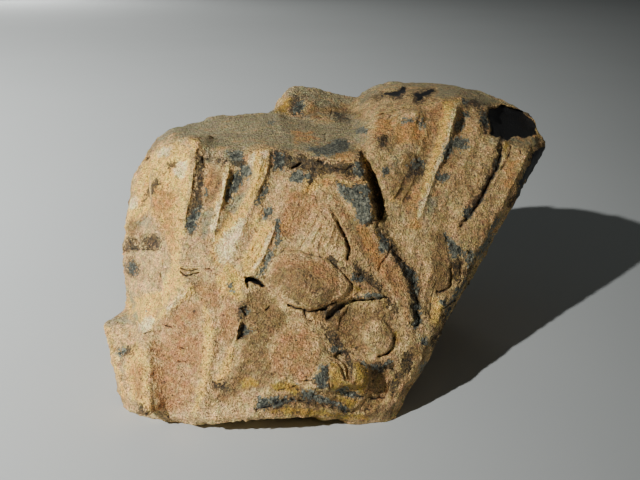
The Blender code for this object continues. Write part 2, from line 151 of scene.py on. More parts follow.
# Crystal edges: height (mm), width of the gentle left side, width of the steep right side
# (view steps), and the crest as it runs down.
RIDGES = {
    "tooth": (0.5, 11, 2.4, ((199, 138), (197, 152), (195, 165), (192, 180), (190, 195), (187, 210),
                             (184, 224), (183, 237))),
    "second": (0.6, 4, 2.2, ((230, 161), (228, 175), (224, 190), (221, 205), (217, 222),
                             (213, 243))),
    "third": (0.55, 12, 2.4, ((272, 146), (270, 160), (266, 175), (260, 188), (254, 202))),
    "third_foot": (0.4, 9, 3.5, ((257, 196), (249, 213), (243, 228), (236, 243), (229, 260))),
    "third_line": (0.3, 4, 2.0, ((262, 150), (262, 164), (257, 180), (250, 196), (243, 210))),
    "fourth": (0.4, 4, 2.0, ((263, 204), (258, 219), (253, 234))),
    "fifth": (0.6, 5, 2.2, ((277, 221), (272, 236), (266, 251), (258, 267), (250, 281))),
    "fifth_line": (0.4, 3, 1.8, ((270, 226), (263, 241), (256, 256), (247, 273))),
    "fifth_side": (0.3, 3, 1.8, ((262, 227), (255, 241), (248, 256), (240, 270))),
    "sixth": (0.3, 5, 2.2, ((249, 218), (242, 232), (236, 247), (230, 262))),
    "left_edge": (0.6, 7, 3.0, ((150, 172), (143, 186), (138, 200), (133, 216))),
    "left_lens": (0.5, 5, 2.5, ((151, 213), (141, 219), (133, 228), (127, 239))),
    "left_step": (0.4, 3, 8, ((160, 236), (161, 255), (160, 275), (162, 296))),
    "left_slant": (0.55, 7, 6, ((192, 278), (187, 292), (174, 303), (162, 318), (152, 333))),
    "left_post": (0.4, 12, 4, ((136, 341), (147, 349), (150, 362), (150, 380), (149, 398),
                               (148, 414))),
    "foot_edge": (0.6, 4, 4, ((104, 321), (110, 345), (116, 368), (123, 394))),
    "foot_top": (0.4, 4, 4, ((126, 312), (131, 324), (128, 338), (133, 348))),
    "lower_band": (0.5, 6, 5, ((215, 326), (213, 350), (208, 372), (203, 392), (197, 412))),
    "lower_band_side": (0.4, 4, 4, ((203, 300), (201, 325), (202, 350), (199, 380))),
    "pink_edge": (0.55, 10, 3, ((251, 284), (244, 306), (238, 330), (233, 350), (228, 370),
                                (221, 386))),
    "triangle": (0.9, 16, 2.2, ((325, 206), (333, 218), (342, 235), (347, 248), (351, 261))),
    "triangle_a": (0.6, 3, 2.0, ((330, 219), (324, 231), (318, 245), (315, 253))),
    "triangle_b": (0.6, 3, 2.0, ((322, 222), (316, 234), (309, 247))),
    "triangle_c": (0.6, 3, 2.0, ((334, 226), (330, 238), (325, 250))),
    "triangle_d": (0.5, 3, 2.0, ((338, 232), (336, 242), (331, 254))),
    "triangle_e": (0.4, 3, 2.0, ((326, 213), (316, 227), (307, 240))),
    "face_a": (0.2, 5, 2.5, ((305, 186), (298, 202), (289, 220), (282, 238))),
    "face_b": (0.2, 5, 2.5, ((319, 192), (310, 208), (300, 226), (292, 242))),
    "face_c": (0.15, 4, 2.5, ((292, 184), (286, 200), (279, 216))),
    "column": (0.7, 9, 6, ((324, 186), (334, 200), (345, 218), (353, 236), (362, 254), (373, 272))),
    "prow_edge": (1.0, 9, 2.0, ((358, 150), (360, 166), (367, 180), (371, 194), (372, 208),
                                (377, 222))),
    "bright": (1.1, 12, 3.4, ((459, 99), (457, 112), (452, 126), (449, 140), (444, 154), (438, 168),
                              (433, 182), (428, 196), (423, 210), (417, 226))),
    "bright_low": (0.5, 8, 6, ((420, 211), (417, 228), (414, 246), (412, 262))),
    "fan_a": (0.6, 4, 2.2, ((405, 176), (398, 190), (391, 202))),
    "fan_b": (0.6, 4, 2.2, ((415, 177), (408, 190), (399, 206))),
    "fan_c": (0.4, 4, 2.2, ((424, 178), (420, 190), (411, 206))),
    "fan_d": (0.3, 6, 3.0, ((427, 108), (424, 120), (426, 134), (424, 150))),
    "fan_e": (0.5, 6, 2.4, ((486, 166), (480, 181), (470, 199))),
    "fan_f": (0.4, 12, 5, ((474, 140), (466, 160), (456, 182), (444, 204))),
    "fan_g": (0.35, 6, 3, ((470, 186), (462, 194), (450, 200), (440, 210))),
    "slab": (0.6, 3, 6, ((402, 120), (393, 128), (383, 136), (374, 144))),
    "slab_low": (0.6, 5, 4, ((398, 158), (388, 166), (380, 178))),
    "rim": (0.8, 8, 3, ((531, 148), (522, 166), (512, 186), (505, 202), (495, 222), (484, 242))),
    "rim_low": (0.4, 6, 4, ((478, 250), (470, 264), (460, 282))),
    "stem": (0.5, 6, 5, ((434, 262), (428, 282), (424, 304), (426, 330))),
    "stem_side": (0.5, 5, 3, ((446, 292), (442, 306), (436, 324), (432, 338))),
    "lower_rim": (0.9, 7, 6, ((428, 346), (418, 364), (411, 378), (397, 398), (384, 414))),
    "lower_rim_in": (0.5, 3, 4, ((400, 356), (404, 366), (398, 382), (386, 398))),
    "slab_rim": (0.45, 8, 3.0, ((391, 252), (401, 266), (409, 282), (413, 303), (413, 326))),
    "olive_a": (0.4, 3, 5, ((252, 344), (244, 356), (238, 368), (232, 382))),
    "olive_b": (0.4, 4, 5, ((272, 352), (266, 364), (256, 376))),
    "foot_band": (0.6, 4, 4, ((300, 388), (318, 394), (334, 402), (350, 409))),
    "foot_low": (0.6, 4, 4, ((256, 411), (280, 406), (306, 405), (330, 411), (356, 416))),
}

# Cracks and grooves: depth (mm), width (view steps) and their run.
CRACKS = {
    "triangle_left": (0.4, 2.4, ((326, 206), (316, 221), (308, 235), (300, 248))),
    "triangle_right": (1.3, 4.0, ((338, 222), (345, 236), (349, 248), (348, 259))),
    "triangle_cut": (0.3, 1.8, ((327, 224), (320, 238), (312, 250))),
    "dome_top": (0.8, 2.2, ((264, 284), (267, 268), (275, 256), (284, 250), (300, 250), (306, 254),
                            (318, 256), (331, 262), (342, 271), (352, 284))),
    "dome_foot": (1.6, 2.4, ((288, 305), (297, 308), (310, 311), (326, 309))),
    "dome_foot_left": (0.4, 2.0, ((264, 286), (272, 292), (281, 299), (290, 306))),
    "dome_seam": (0.25, 2.0, ((314, 256), (312, 264), (308, 276), (307, 288), (304, 296))),
    "dome_seam_left": (0.15, 2.0, ((290, 256), (286, 268), (280, 282))),
    "gap": (2.4, 3.0, ((247, 280), (256, 280), (264, 286))),
    "gap_tail": (2.0, 3.0, ((247, 280), (248, 287))),
    "dome_shadow": (1.8, 5.0, ((328, 318), (336, 311), (344, 304), (354, 300))),
    "slab_foot": (1.6, 2.6, ((352, 301), (366, 300), (381, 298))),
    "small_gap": (1.2, 2.4, ((304, 311), (307, 320), (312, 321))),
    "small_gap_side": (0.9, 2.2, ((306, 312), (304, 306), (298, 303))),
    "vein": (0.3, 3.0, ((374, 220), (382, 233), (388, 243), (392, 248), (401, 261), (411, 272),
                        (415, 287), (417, 303), (419, 320), (416, 332))),
    "vein_hole": (0.8, 3.0, ((416, 312), (420, 319), (416, 326))),
    "vein_branch": (0.6, 2.2, ((391, 248), (387, 258), (381, 264), (379, 272))),
    "vein_side_crack": (0.4, 2.0, ((391, 248), (399, 256), (408, 267))),
    "groove": (1.5, 4.6, ((502, 138), (501, 154), (498, 167), (491, 180), (484, 193), (477, 206),
                          (466, 220), (461, 226))),
    "second_groove": (0.9, 2.4, ((512, 141), (509, 155), (504, 165), (499, 173))),
    "third_groove": (0.9, 2.0, ((520, 146), (521, 154))),
    "fan_groove": (0.6, 2.2, ((482, 174), (476, 187), (471, 199))),
    "fan_seam": (0.3, 2.0, ((472, 186), (462, 194), (450, 200), (441, 210), (432, 220))),
    "top_crack": (0.7, 2.2, ((360, 114), (366, 119), (376, 117), (388, 113), (397, 109),
                             (410, 107))),
    "top_crack_low": (0.3, 2.0, ((374, 125), (386, 122), (398, 119))),
    "plateau_crack": (0.8, 2.0, ((325, 134), (325, 140), (321, 146))),
    "plateau_crack_b": (0.6, 2.0, ((343, 135), (348, 132), (352, 127))),
    "plateau_seam": (0.4, 2.0, ((286, 146), (300, 147), (318, 145), (330, 143))),
    "knob_crack": (0.9, 2.0, ((332, 110), (330, 119))),
    "knob_pit": (0.9, 2.6, ((317, 118), (321, 118))),
    "knob_foot": (0.4, 2.5, ((280, 117), (292, 119), (304, 118), (318, 121))),
    "tooth_crack": (0.8, 2.4, ((240, 145), (246, 149), (253, 152))),
    "edge_gap": (1.6, 3.0, ((292, 169), (297, 166), (301, 163))),
    "edge_gap_mid": (1.4, 3.0, ((318, 161), (322, 163))),
    "edge_gap_right": (0.5, 2.4, ((315, 169), (312, 177), (310, 184), (307, 192))),
    "edge_gap_low": (1.0, 2.6, ((336, 168), (346, 170), (352, 166))),
    "recess_lip": (0.4, 2.0, ((350, 180), (358, 182), (367, 179))),
    "slit_upper": (1.1, 2.0, ((181, 268), (186, 270), (198, 269))),
    "slit_lower": (1.1, 2.0, ((181, 272), (186, 276), (199, 273))),
    "slit_dot": (0.9, 2.0, ((206, 269), (210, 269))),
    "left_crack_a": (0.9, 2.2, ((124, 250), (140, 249), (160, 250))),
    "left_crack_b": (0.7, 2.2, ((128, 238), (132, 246), (136, 240), (143, 246), (150, 243))),
    "left_step_crack": (0.3, 2.0, ((161, 250), (162, 262), (161, 280), (160, 298))),
    "left_edge_pit": (1.2, 3.4, ((146, 160), (149, 156))),
    "left_slot": (0.3, 2.6, ((140, 209), (144, 198), (150, 188), (156, 178))),
    "tooth_side": (0.4, 2.2, ((180, 142), (188, 148), (196, 152))),
    "foot_slot": (0.9, 2.0, ((144, 333), (151, 331))),
    "left_fold": (0.4, 2.4, ((126, 281), (130, 296), (132, 310), (135, 322))),
    "panel_left": (0.15, 2.2, ((152, 348), (153, 375), (152, 402))),
    "pit_a": (0.8, 2.0, ((166, 326), (175, 328))),
    "pit_b": (0.8, 2.0, ((180, 361), (188, 362))),
    "pit_c": (0.8, 2.4, ((179, 347), (185, 349))),
    "olive_crack": (0.7, 2.0, ((242, 309), (250, 312), (257, 314), (264, 312), (270, 306))),
    "crescent": (1.4, 3.0, ((394, 338), (393, 346), (388, 352), (379, 357))),
    "pink_foot": (0.5, 2.2, ((272, 374), (285, 377), (294, 382), (303, 381), (312, 380))),
    "bottom_slot": (0.8, 2.4, ((278, 390), (288, 389), (296, 386))),
    "bottom_line": (0.8, 3.0, ((256, 410), (272, 406), (288, 398), (304, 402))),
    "bottom_line_right": (0.5, 2.6, ((306, 402), (330, 408), (352, 412), (368, 411))),
    "pit_foot": (0.8, 3.0, ((359, 396), (372, 399), (384, 398))),
    "right_notch": (1.0, 3.0, ((438, 292), (446, 290), (451, 285), (450, 268))),
    "right_notch_low": (1.2, 2.6, ((440, 310), (446, 306), (455, 300))),
    "right_flake_side": (0.7, 2.4, ((466, 250), (472, 254), (472, 264), (464, 276))),
    "rim_crack": (0.5, 2.0, ((411, 348), (413, 360), (407, 376))),
    "rim_crack_in": (0.4, 2.2, ((396, 360), (392, 372), (390, 384), (386, 394))),
    "stem_crack": (0.4, 2.0, ((424, 262), (420, 276), (424, 292))),
    "stem_crack_b": (0.5, 2.0, ((436, 282), (432, 300), (430, 322))),
    "blade_foot": (0.6, 2.0, ((406, 100), (416, 103), (428, 98), (440, 100))),
}

# Parts standing proud (+) or broken away (-): height (mm), width of their edge, outline.
FACETS = {
    "half_round": (1.0, 2.2, ((264, 285), (267, 268), (275, 256), (284, 250), (300, 250),
                              (306, 254), (318, 256), (331, 262), (341, 271), (351, 284),
                              (345, 294), (334, 302), (321, 308), (307, 309), (292, 305),
                              (273, 293))),
    "half_round_top": (1.1, 22, ((283, 264), (306, 262), (330, 272), (338, 284), (324, 294),
                                 (300, 294), (281, 284))),
    "nub": (1.0, 2.4, ((326, 319), (324, 311), (330, 306), (338, 303), (343, 305), (338, 312))),
    "recess": (-2.4, 2.0, ((361, 150), (367, 158), (375, 174), (381, 191), (384, 208), (382, 219),
                           (377, 221), (374, 206), (372, 190), (366, 179), (362, 164))),
    "gap_wedge": (-2.4, 1.6, ((245, 277), (252, 277), (259, 280), (266, 286), (262, 287),
                              (255, 283), (249, 282), (246, 284))),
    "prow_cap": (0.7, 1.8, ((336, 183), (350, 186), (367, 181), (371, 190), (371, 206), (374, 218),
                            (366, 226), (356, 218), (350, 206), (342, 198))),
    "prow_ledge": (0.8, 1.8, ((318, 177), (334, 178), (350, 181), (366, 176), (369, 181),
                              (350, 187), (334, 184), (319, 181))),
    "strip": (-0.2, 2.0, ((197, 152), (205, 156), (204, 178), (202, 192), (203, 205), (198, 210),
                          (196, 224), (194, 234), (184, 234), (187, 214), (191, 196), (195, 170))),
    "dark_wedge": (-0.3, 2.0, ((231, 175), (240, 172), (242, 184), (239, 190), (233, 194),
                               (229, 205), (224, 203), (226, 192))),
    "third_flute": (-0.3, 2.4, ((234, 164), (250, 166), (252, 180), (244, 200), (230, 216),
                                (223, 208), (230, 186))),
    "orange_cut": (-0.3, 2.0, ((242, 150), (252, 150), (252, 170), (243, 168))),
    "black_hollow": (-2.2, 1.6, ((487, 107), (497, 108), (502, 104), (512, 108), (533, 115),
                                 (533, 122), (538, 134), (524, 137), (513, 136), (508, 140),
                                 (490, 135), (491, 128), (488, 118))),
    "hollow_ledge": (0.5, 1.8, ((491, 137), (508, 141), (538, 136), (541, 143), (528, 147),
                                (510, 146), (494, 145))),
    "strip_left": (-0.8, 2.0, ((372, 98), (380, 94), (392, 91), (406, 87), (408, 95), (400, 98),
                               (388, 97))),
    "strip_right": (-0.8, 2.0, ((411, 92), (422, 89), (432, 86), (434, 91), (426, 95), (424, 101),
                                (415, 102))),
    "left_hollow": (-0.8, 2.4, ((125, 241), (131, 237), (142, 240), (152, 234), (161, 239),
                                (159, 249), (146, 250), (134, 252), (125, 250))),
    "left_lens_cut": (-0.4, 2.4, ((134, 232), (140, 221), (150, 214), (154, 222), (150, 234),
                                  (140, 236))),
    "panel": (-0.4, 6.0, ((153, 348), (156, 330), (166, 316), (188, 296), (200, 300), (201, 325),
                          (201, 350), (198, 385), (190, 412), (152, 413))),
    "corner_pit": (-0.9, 1.8, ((237, 340), (240, 326), (243, 322), (248, 328), (257, 330),
                               (249, 336))),
    "corner_pit_up": (-0.7, 1.6, ((241, 308), (247, 306), (251, 312), (246, 317))),
    "pink_patch": (0.4, 2.4, ((284, 324), (305, 322), (319, 334), (320, 358), (312, 372),
                              (303, 381), (273, 374), (269, 352))),
    "dark_crystal": (0.9, 1.4, ((319, 366), (328, 364), (329, 389), (320, 386), (311, 378))),
    "ochre_left": (1.1, 1.3, ((329, 362), (337, 362), (342, 372), (345, 381), (352, 382),
                              (352, 391), (330, 390))),
    "ochre_right": (0.9, 1.3, ((354, 360), (362, 363), (370, 369), (369, 382), (366, 394),
                               (361, 396), (353, 390), (352, 376))),
    "pocket": (-1.1, 1.4, ((333, 356), (340, 352), (349, 353), (354, 359), (352, 380), (347, 380),
                           (345, 364), (339, 360))),
    "brown_hollow": (-0.9, 2.0, ((371, 369), (388, 366), (391, 380), (388, 396), (381, 404),
                                 (366, 411), (353, 411), (363, 401), (370, 392))),
    "round_lump": (0.9, 3.4, ((363, 326), (372, 318), (384, 320), (394, 334), (393, 346),
                              (382, 355), (370, 352), (363, 340))),
    "slab_grey": (1.0, 1.5, ((353, 297), (362, 292), (376, 293), (384, 295), (380, 299),
                             (353, 300))),
    "slab_top": (0.6, 2.0, ((353, 286), (366, 282), (378, 288), (384, 295), (362, 292),
                            (353, 296))),
    "vein_slab": (0.6, 2.4, ((391, 252), (400, 264), (409, 282), (413, 303), (413, 326), (404, 322),
                             (396, 300), (384, 278), (383, 268))),
    "right_flake": (-0.7, 1.8, ((444, 234), (452, 242), (464, 249), (474, 252), (470, 264),
                                (460, 284), (448, 290), (450, 268), (447, 250))),
    "lower_shelf": (-0.7, 2.4, ((340, 318), (352, 303), (382, 301), (390, 308), (372, 318),
                                (362, 330), (350, 336), (338, 330))),
    "grey_oval": (0.5, 2.0, ((353, 132), (357, 126), (366, 126), (370, 131), (364, 135),
                             (356, 135))),
    "knob_side": (0.4, 4.0, ((288, 98), (296, 88), (318, 92), (316, 108), (304, 116), (290, 114))),
    "top_shelf": (0.5, 3.0, ((362, 104), (372, 99), (400, 100), (416, 103), (404, 108), (376, 116),
                             (364, 114))),
    "rust_cut": (-0.4, 2.4, ((398, 124), (416, 122), (424, 134), (418, 150), (404, 152),
                             (397, 142))),
}

# Where the crystals run along SADDLE_ALONG, and how softly that ends (view steps).
SADDLE = ((345, 180), (372, 222), (392, 240), (425, 330), (400, 350), (350, 300), (326, 205))
SADDLE_EDGE, DOME_EDGE = 14, 3

# Zones of the surface: the field they belong to, then their outlines in the view.
ZONES = {
    "mineral": (
        ((297, 101), (304, 100), (304, 114), (296, 116), (293, 112)),
        ((272, 158), (277, 152), (284, 153), (286, 162), (283, 172), (275, 170)),
        ((289, 173), (298, 171), (309, 173), (311, 179), (301, 182), (290, 180)),
        ((304, 148), (324, 146), (336, 138), (350, 138), (350, 150), (334, 156), (312, 154)),
        ((202, 186), (208, 186), (208, 199), (203, 199)),
        ((190, 214), (200, 206), (204, 208), (199, 217), (196, 230), (186, 233), (186, 222)),
        FACETS["dark_wedge"][-1],
        ((240, 166), (250, 163), (252, 172), (247, 180), (241, 176)),
        ((226, 152), (244, 150), (246, 158), (230, 160)),
        ((263, 187), (268, 186), (268, 191), (261, 200), (255, 207), (254, 203)),
        ((264, 208), (271, 206), (272, 214), (267, 221), (261, 220)),
        ((275, 219), (281, 218), (281, 228), (282, 244), (276, 248), (275, 240)),
        ((268, 250), (276, 248), (270, 261), (262, 275), (256, 279), (260, 267)),
        ((336, 184), (345, 183), (352, 187), (367, 183), (370, 192), (371, 206), (374, 219),
         (367, 227), (358, 223), (355, 209), (345, 201), (339, 193)),
        ((354, 162), (361, 160), (363, 171), (363, 180), (358, 179), (354, 172)),
        ((353, 133), (356, 127), (364, 126), (370, 130), (366, 135), (357, 135)),
        ((380, 234), (387, 237), (392, 247), (386, 252), (380, 252), (378, 244)),
        ((400, 262), (407, 263), (413, 272), (418, 275), (419, 285), (417, 296), (412, 296),
         (411, 281), (404, 271)),
        ((413, 300), (418, 303), (422, 318), (417, 331), (413, 325), (415, 312)),
        ((352, 273), (362, 276), (368, 282), (360, 284), (352, 281)),
        ((417, 120), (424, 118), (426, 127), (420, 129)),
        ((381, 171), (388, 167), (394, 167), (391, 174), (383, 177)),
        ((410, 160), (422, 159), (424, 167), (412, 168)),
        ((402, 121), (410, 118), (415, 120), (405, 125)),
        ((460, 111), (470, 110), (471, 116), (464, 118), (459, 116)),
        ((456, 119), (466, 117), (467, 124), (463, 132), (454, 132), (453, 127)),
        ((449, 140), (452, 138), (461, 137), (469, 141), (468, 148), (460, 152), (455, 147),
         (449, 157), (441, 163), (441, 155)),
        ((436, 173), (449, 173), (450, 180), (442, 183), (434, 181)),
        ((464, 208), (476, 207), (475, 212), (469, 219), (462, 219), (463, 213)),
        ((480, 114), (487, 112), (490, 126), (485, 131), (481, 122)),
        ((443, 232), (450, 236), (455, 244), (464, 250), (466, 256), (455, 258), (450, 260),
         (448, 248)),
        ((466, 250), (474, 250), (475, 260), (469, 268), (465, 262)),
        ((440, 297), (448, 298), (446, 306), (440, 306)),
        ((418, 337), (428, 336), (430, 345), (422, 346)),
        ((238, 340), (240, 326), (243, 322), (248, 327), (257, 330), (249, 336)),
        ((242, 308), (247, 306), (251, 312), (246, 317)),
        FACETS["dark_crystal"][-1],
        ((330, 343), (338, 346), (345, 352), (337, 356), (330, 350)),
        ((252, 410), (258, 398), (268, 396), (282, 398), (292, 395), (304, 399), (290, 402),
         (278, 406), (264, 411)),
        ((298, 386), (308, 390), (320, 394), (334, 400), (348, 406), (354, 411), (344, 411),
         (330, 405), (314, 400), (303, 396)),
        ((333, 389), (345, 388), (356, 393), (364, 397), (352, 400), (340, 395)),
        ((355, 356), (366, 361), (373, 367), (386, 361), (393, 362), (384, 369), (372, 371),
         (362, 365)),
        ((353, 298), (364, 293), (377, 293), (384, 295), (380, 299), (354, 300)),
        # Painted shade: dark mineral over the shaded right face
        ((536, 150), (546, 146), (541, 160), (526, 186), (514, 204), (516, 190), (526, 170)),
        ((126, 262), (134, 261), (137, 270), (134, 275), (129, 272)),
        ((117, 352), (124, 347), (126, 352), (120, 358)),
        ((227, 283), (233, 281), (233, 292), (228, 293)),
        ((266, 122), (275, 121), (276, 125), (268, 125)),
        ((460, 100), (466, 99), (470, 104), (464, 106)),
        ((499, 150), (503, 150), (501, 166), (494, 178), (491, 178), (497, 164)),
        ((484, 190), (488, 190), (482, 202), (478, 204)),
        ((504, 213), (497, 226), (488, 246), (478, 262), (476, 256), (486, 238), (496, 220)),
        ((466, 278), (458, 296), (452, 306), (447, 318), (444, 312), (452, 298), (460, 282)),
        ((417, 366), (424, 360), (424, 366), (418, 374)),
    ),
    "pitch": (
        FACETS["black_hollow"][-1],
        ((376, 97), (390, 93), (404, 87), (407, 92), (398, 96), (386, 96)),
        ((413, 94), (424, 90), (432, 87), (433, 91), (425, 94), (420, 100)),
        # Painted shade in the deep gap
        FACETS["gap_wedge"][-1],
        # Painted shade: black over the shaded right face
        ((536, 150), (541, 147), (547, 144), (542, 157), (530, 176), (520, 190), (519, 186),
         (527, 168)),
    ),
    "dust": (
        ((138, 150), (152, 138), (168, 124), (200, 116), (240, 110), (272, 108), (300, 116),
         (345, 121), (366, 131), (366, 142), (350, 152), (330, 158), (300, 152), (285, 150),
         (262, 143), (240, 150), (204, 152), (199, 137), (172, 138), (152, 146)),
        ((204, 148), (240, 146), (252, 158), (250, 172), (236, 164), (206, 164)),
        ((283, 90), (296, 82), (356, 96), (352, 104), (318, 108), (306, 98), (290, 98)),
        ((356, 98), (376, 84), (435, 76), (475, 86), (500, 98), (535, 112), (520, 112), (500, 104),
         (484, 108), (462, 98), (438, 98), (434, 84), (380, 90), (362, 106)),
        ((490, 137), (538, 137), (538, 147), (516, 146), (494, 145)),
        ((100, 324), (105, 315), (125, 312), (130, 322), (112, 330)),
        ((410, 200), (440, 196), (436, 214), (414, 216)),
        ((404, 143), (414, 141), (416, 149), (408, 152)),
        ((136, 222), (148, 214), (152, 226), (142, 234)),
        ((236, 196), (248, 186), (246, 200), (232, 214), (224, 210)),
        ((204, 212), (212, 208), (206, 240), (200, 240)),
        ((126, 284), (136, 300), (140, 318), (134, 322)),
        ((396, 148), (400, 160), (396, 172), (390, 166)),
        ((318, 112), (346, 112), (366, 122), (364, 132), (330, 124)),
    ),
    "grime_and_shade": (
        ((197, 152), (205, 156), (204, 178), (202, 192), (203, 205), (198, 210), (196, 224),
         (194, 234), (184, 234), (186, 220), (190, 206), (192, 192), (195, 174)),
        ((124, 241), (131, 234), (137, 242), (143, 249), (134, 253), (124, 253)),
        ((137, 240), (143, 236), (152, 233), (162, 238), (160, 248), (154, 252), (146, 250),
         (141, 246)),
        ((125, 258), (136, 258), (140, 270), (134, 278), (126, 274)),
        ((331, 351), (340, 346), (350, 350), (355, 360), (353, 380), (348, 380), (347, 362),
         (340, 357), (332, 356)),
        ((316, 372), (328, 362), (330, 390), (318, 388), (308, 380)),
        ((372, 362), (392, 358), (394, 372), (376, 374)),
        ((140, 208), (145, 196), (152, 182), (158, 175), (161, 184), (152, 196), (146, 206)),
        ((272, 150), (286, 150), (300, 154), (318, 158), (334, 161), (352, 160), (360, 166),
         (366, 178), (350, 178), (334, 174), (318, 177), (312, 188), (306, 186), (308, 172),
         (290, 170), (272, 172)),
        ((204, 156), (224, 158), (244, 156), (252, 166), (236, 168), (222, 163), (206, 163)),
        ((322, 254), (330, 254), (340, 264), (348, 268), (346, 272), (336, 268), (326, 260)),
        # Painted shade over the shaded recess beside the prow
        ((364, 158), (375, 176), (382, 194), (384, 210), (382, 220), (376, 220), (372, 200),
         (366, 178)),
        ((497, 138), (503, 138), (503, 154), (500, 167), (492, 182), (484, 196), (476, 210),
         (465, 224), (459, 222), (469, 204), (479, 188), (489, 172), (496, 156)),
        ((352, 262), (360, 264), (374, 274), (384, 286), (380, 292), (364, 284), (354, 276)),
        # Painted shade over the shaded right face
        ((534, 148), (547, 143), (543, 160), (526, 187), (511, 210), (507, 206), (515, 190),
         (525, 170)),
        ((288, 100), (296, 92), (304, 96), (304, 116), (294, 118), (287, 112)),
        ((368, 99), (380, 93), (393, 90), (407, 85), (409, 96), (400, 100), (386, 99)),
        ((410, 91), (422, 87), (433, 84), (436, 92), (427, 97), (424, 103), (414, 103)),
        ((450, 262), (458, 256), (466, 262), (460, 280), (450, 282)),
        # Painted shade under the right side of the half-round
        ((316, 306), (330, 304), (344, 304), (340, 314), (330, 320), (322, 316)),
        ((237, 341), (240, 325), (244, 322), (250, 328), (257, 331), (248, 338)),
        ((230, 172), (242, 170), (243, 186), (234, 194), (229, 206), (223, 204), (226, 190)),
        ((374, 218), (382, 228), (392, 240), (398, 252), (406, 260), (414, 268), (420, 284),
         (422, 302), (424, 322), (414, 334), (411, 318), (409, 296), (404, 278), (396, 264),
         (384, 250), (376, 232)),
        ((384, 296), (392, 296), (402, 308), (396, 314), (386, 304)),
        ((322, 324), (334, 330), (344, 342), (354, 352), (338, 352), (328, 342)),
        ((296, 390), (330, 398), (354, 411), (344, 413), (318, 405), (300, 400)),
        ((446, 304), (456, 300), (448, 322), (440, 344), (432, 350), (430, 344), (438, 330)),
        ((460, 284), (470, 266), (478, 256), (470, 276), (460, 296)),
        ((118, 350), (128, 346), (137, 343), (139, 348), (130, 356), (120, 360)),
        ((134, 402), (142, 402), (150, 413), (146, 418), (136, 415)),
        ((210, 380), (224, 380), (232, 385), (226, 391), (214, 390)),
        ((330, 112), (345, 112), (352, 122), (338, 123)),
        ((478, 110), (489, 108), (491, 134), (484, 134), (478, 124)),
        ((458, 98), (478, 97), (486, 104), (478, 110), (462, 106)),
        ((264, 184), (270, 184), (268, 194), (258, 206), (252, 208)),
        ((374, 134), (384, 134), (390, 142), (382, 150), (376, 144)),
        ((408, 164), (424, 160), (426, 174), (412, 178), (404, 184)),
        ((256, 398), (282, 397), (300, 402), (276, 410), (256, 413)),
        ((168, 160), (176, 162), (176, 170), (168, 170)),
        ((400, 356), (412, 346), (414, 362), (404, 380), (392, 396), (388, 384), (398, 370)),
        ((356, 150), (362, 146), (364, 158), (358, 162)),
        ((236, 300), (246, 302), (244, 320), (238, 324)),
    ),
    "cream": (
        ((124, 236), (128, 206), (144, 162), (158, 146), (176, 142), (190, 150), (192, 170),
         (188, 200), (184, 226), (180, 262), (186, 282), (160, 312), (150, 330), (132, 322),
         (124, 300), (160, 290), (170, 262), (164, 232), (150, 212)),
        ((186, 140), (199, 137), (197, 152), (190, 148)),
        ((252, 150), (272, 146), (269, 162), (264, 178), (254, 200), (246, 216), (236, 240),
         (228, 262), (216, 266), (209, 252), (214, 236), (224, 220), (244, 200), (252, 176)),
        ((226, 162), (231, 161), (227, 180), (221, 204), (214, 242), (207, 240), (212, 210),
         (219, 182)),
        ((276, 223), (270, 240), (256, 276), (246, 276), (240, 264), (250, 238), (262, 222)),
        ((262, 204), (264, 206), (256, 230), (250, 234), (250, 222)),
        ((460, 99), (453, 128), (442, 158), (432, 184), (423, 210), (417, 226), (413, 222),
         (422, 186), (430, 158), (437, 128), (444, 100)),
        ((136, 342), (148, 348), (150, 380), (150, 412), (132, 400), (124, 372), (128, 352)),
        ((103, 322), (110, 328), (120, 372), (128, 400), (120, 396), (108, 346)),
        ((203, 300), (214, 326), (214, 350), (208, 380), (200, 412), (192, 412), (200, 380),
         (202, 340)),
        ((138, 322), (160, 310), (180, 294), (190, 280), (196, 290), (176, 306), (160, 322),
         (150, 334)),
        ((228, 262), (246, 276), (240, 300), (222, 296), (214, 280)),
        ((432, 296), (442, 300), (440, 324), (430, 326)),
        ((530, 134), (540, 134), (540, 141), (530, 141)),
        ((402, 178), (406, 178), (394, 202), (388, 200)),
        ((412, 178), (416, 178), (402, 206), (397, 206)),
        ((226, 350), (234, 344), (230, 368), (222, 384), (214, 384)),
        ((318, 176), (334, 178), (350, 182), (366, 178), (368, 182), (350, 187), (334, 184),
         (318, 181)),
        ((318, 164), (326, 166), (330, 174), (318, 176)),
        ((304, 182), (314, 178), (322, 184), (310, 196), (302, 196)),
    ),
    # Chalk, with painted highlights on small lit spots and on the lit face of the bright ridge
    "chalk_and_highlight": (
        ((176, 163), (185, 161), (187, 170), (184, 179), (177, 178), (173, 171)),
        ((218, 240), (232, 226), (246, 218), (244, 236), (234, 258), (226, 264), (216, 260),
         (214, 250)),
        ((227, 162), (231, 161), (228, 176), (222, 204), (214, 242), (210, 240), (217, 204),
         (223, 178)),
        ((250, 152), (256, 150), (254, 168), (248, 176), (248, 162)),
        ((127, 196), (136, 194), (138, 204), (134, 210), (126, 208)),
        ((209, 222), (217, 218), (213, 242), (208, 238)),
        ((140, 322), (152, 316), (158, 320), (148, 334), (140, 330)),
        ((168, 306), (182, 294), (188, 292), (176, 304), (166, 314)),
        ((276, 224), (271, 240), (258, 268), (252, 276), (262, 250), (272, 226)),
        ((449, 122), (452, 122), (451, 130), (448, 130)),
        ((455, 102), (460, 100), (455, 124), (447, 150), (436, 178), (426, 206), (419, 224),
         (416, 220), (424, 196), (435, 168), (445, 138), (450, 116)),
        ((260, 150), (271, 148), (268, 160), (262, 166)),
        ((156, 150), (172, 146), (170, 154), (156, 160)),
    ),
    "salmon": (
        ((152, 346), (162, 320), (188, 300), (200, 300), (202, 330), (202, 372), (194, 400),
         (180, 414), (153, 412)),
        ((188, 280), (214, 284), (222, 300), (214, 310), (200, 300), (188, 296)),
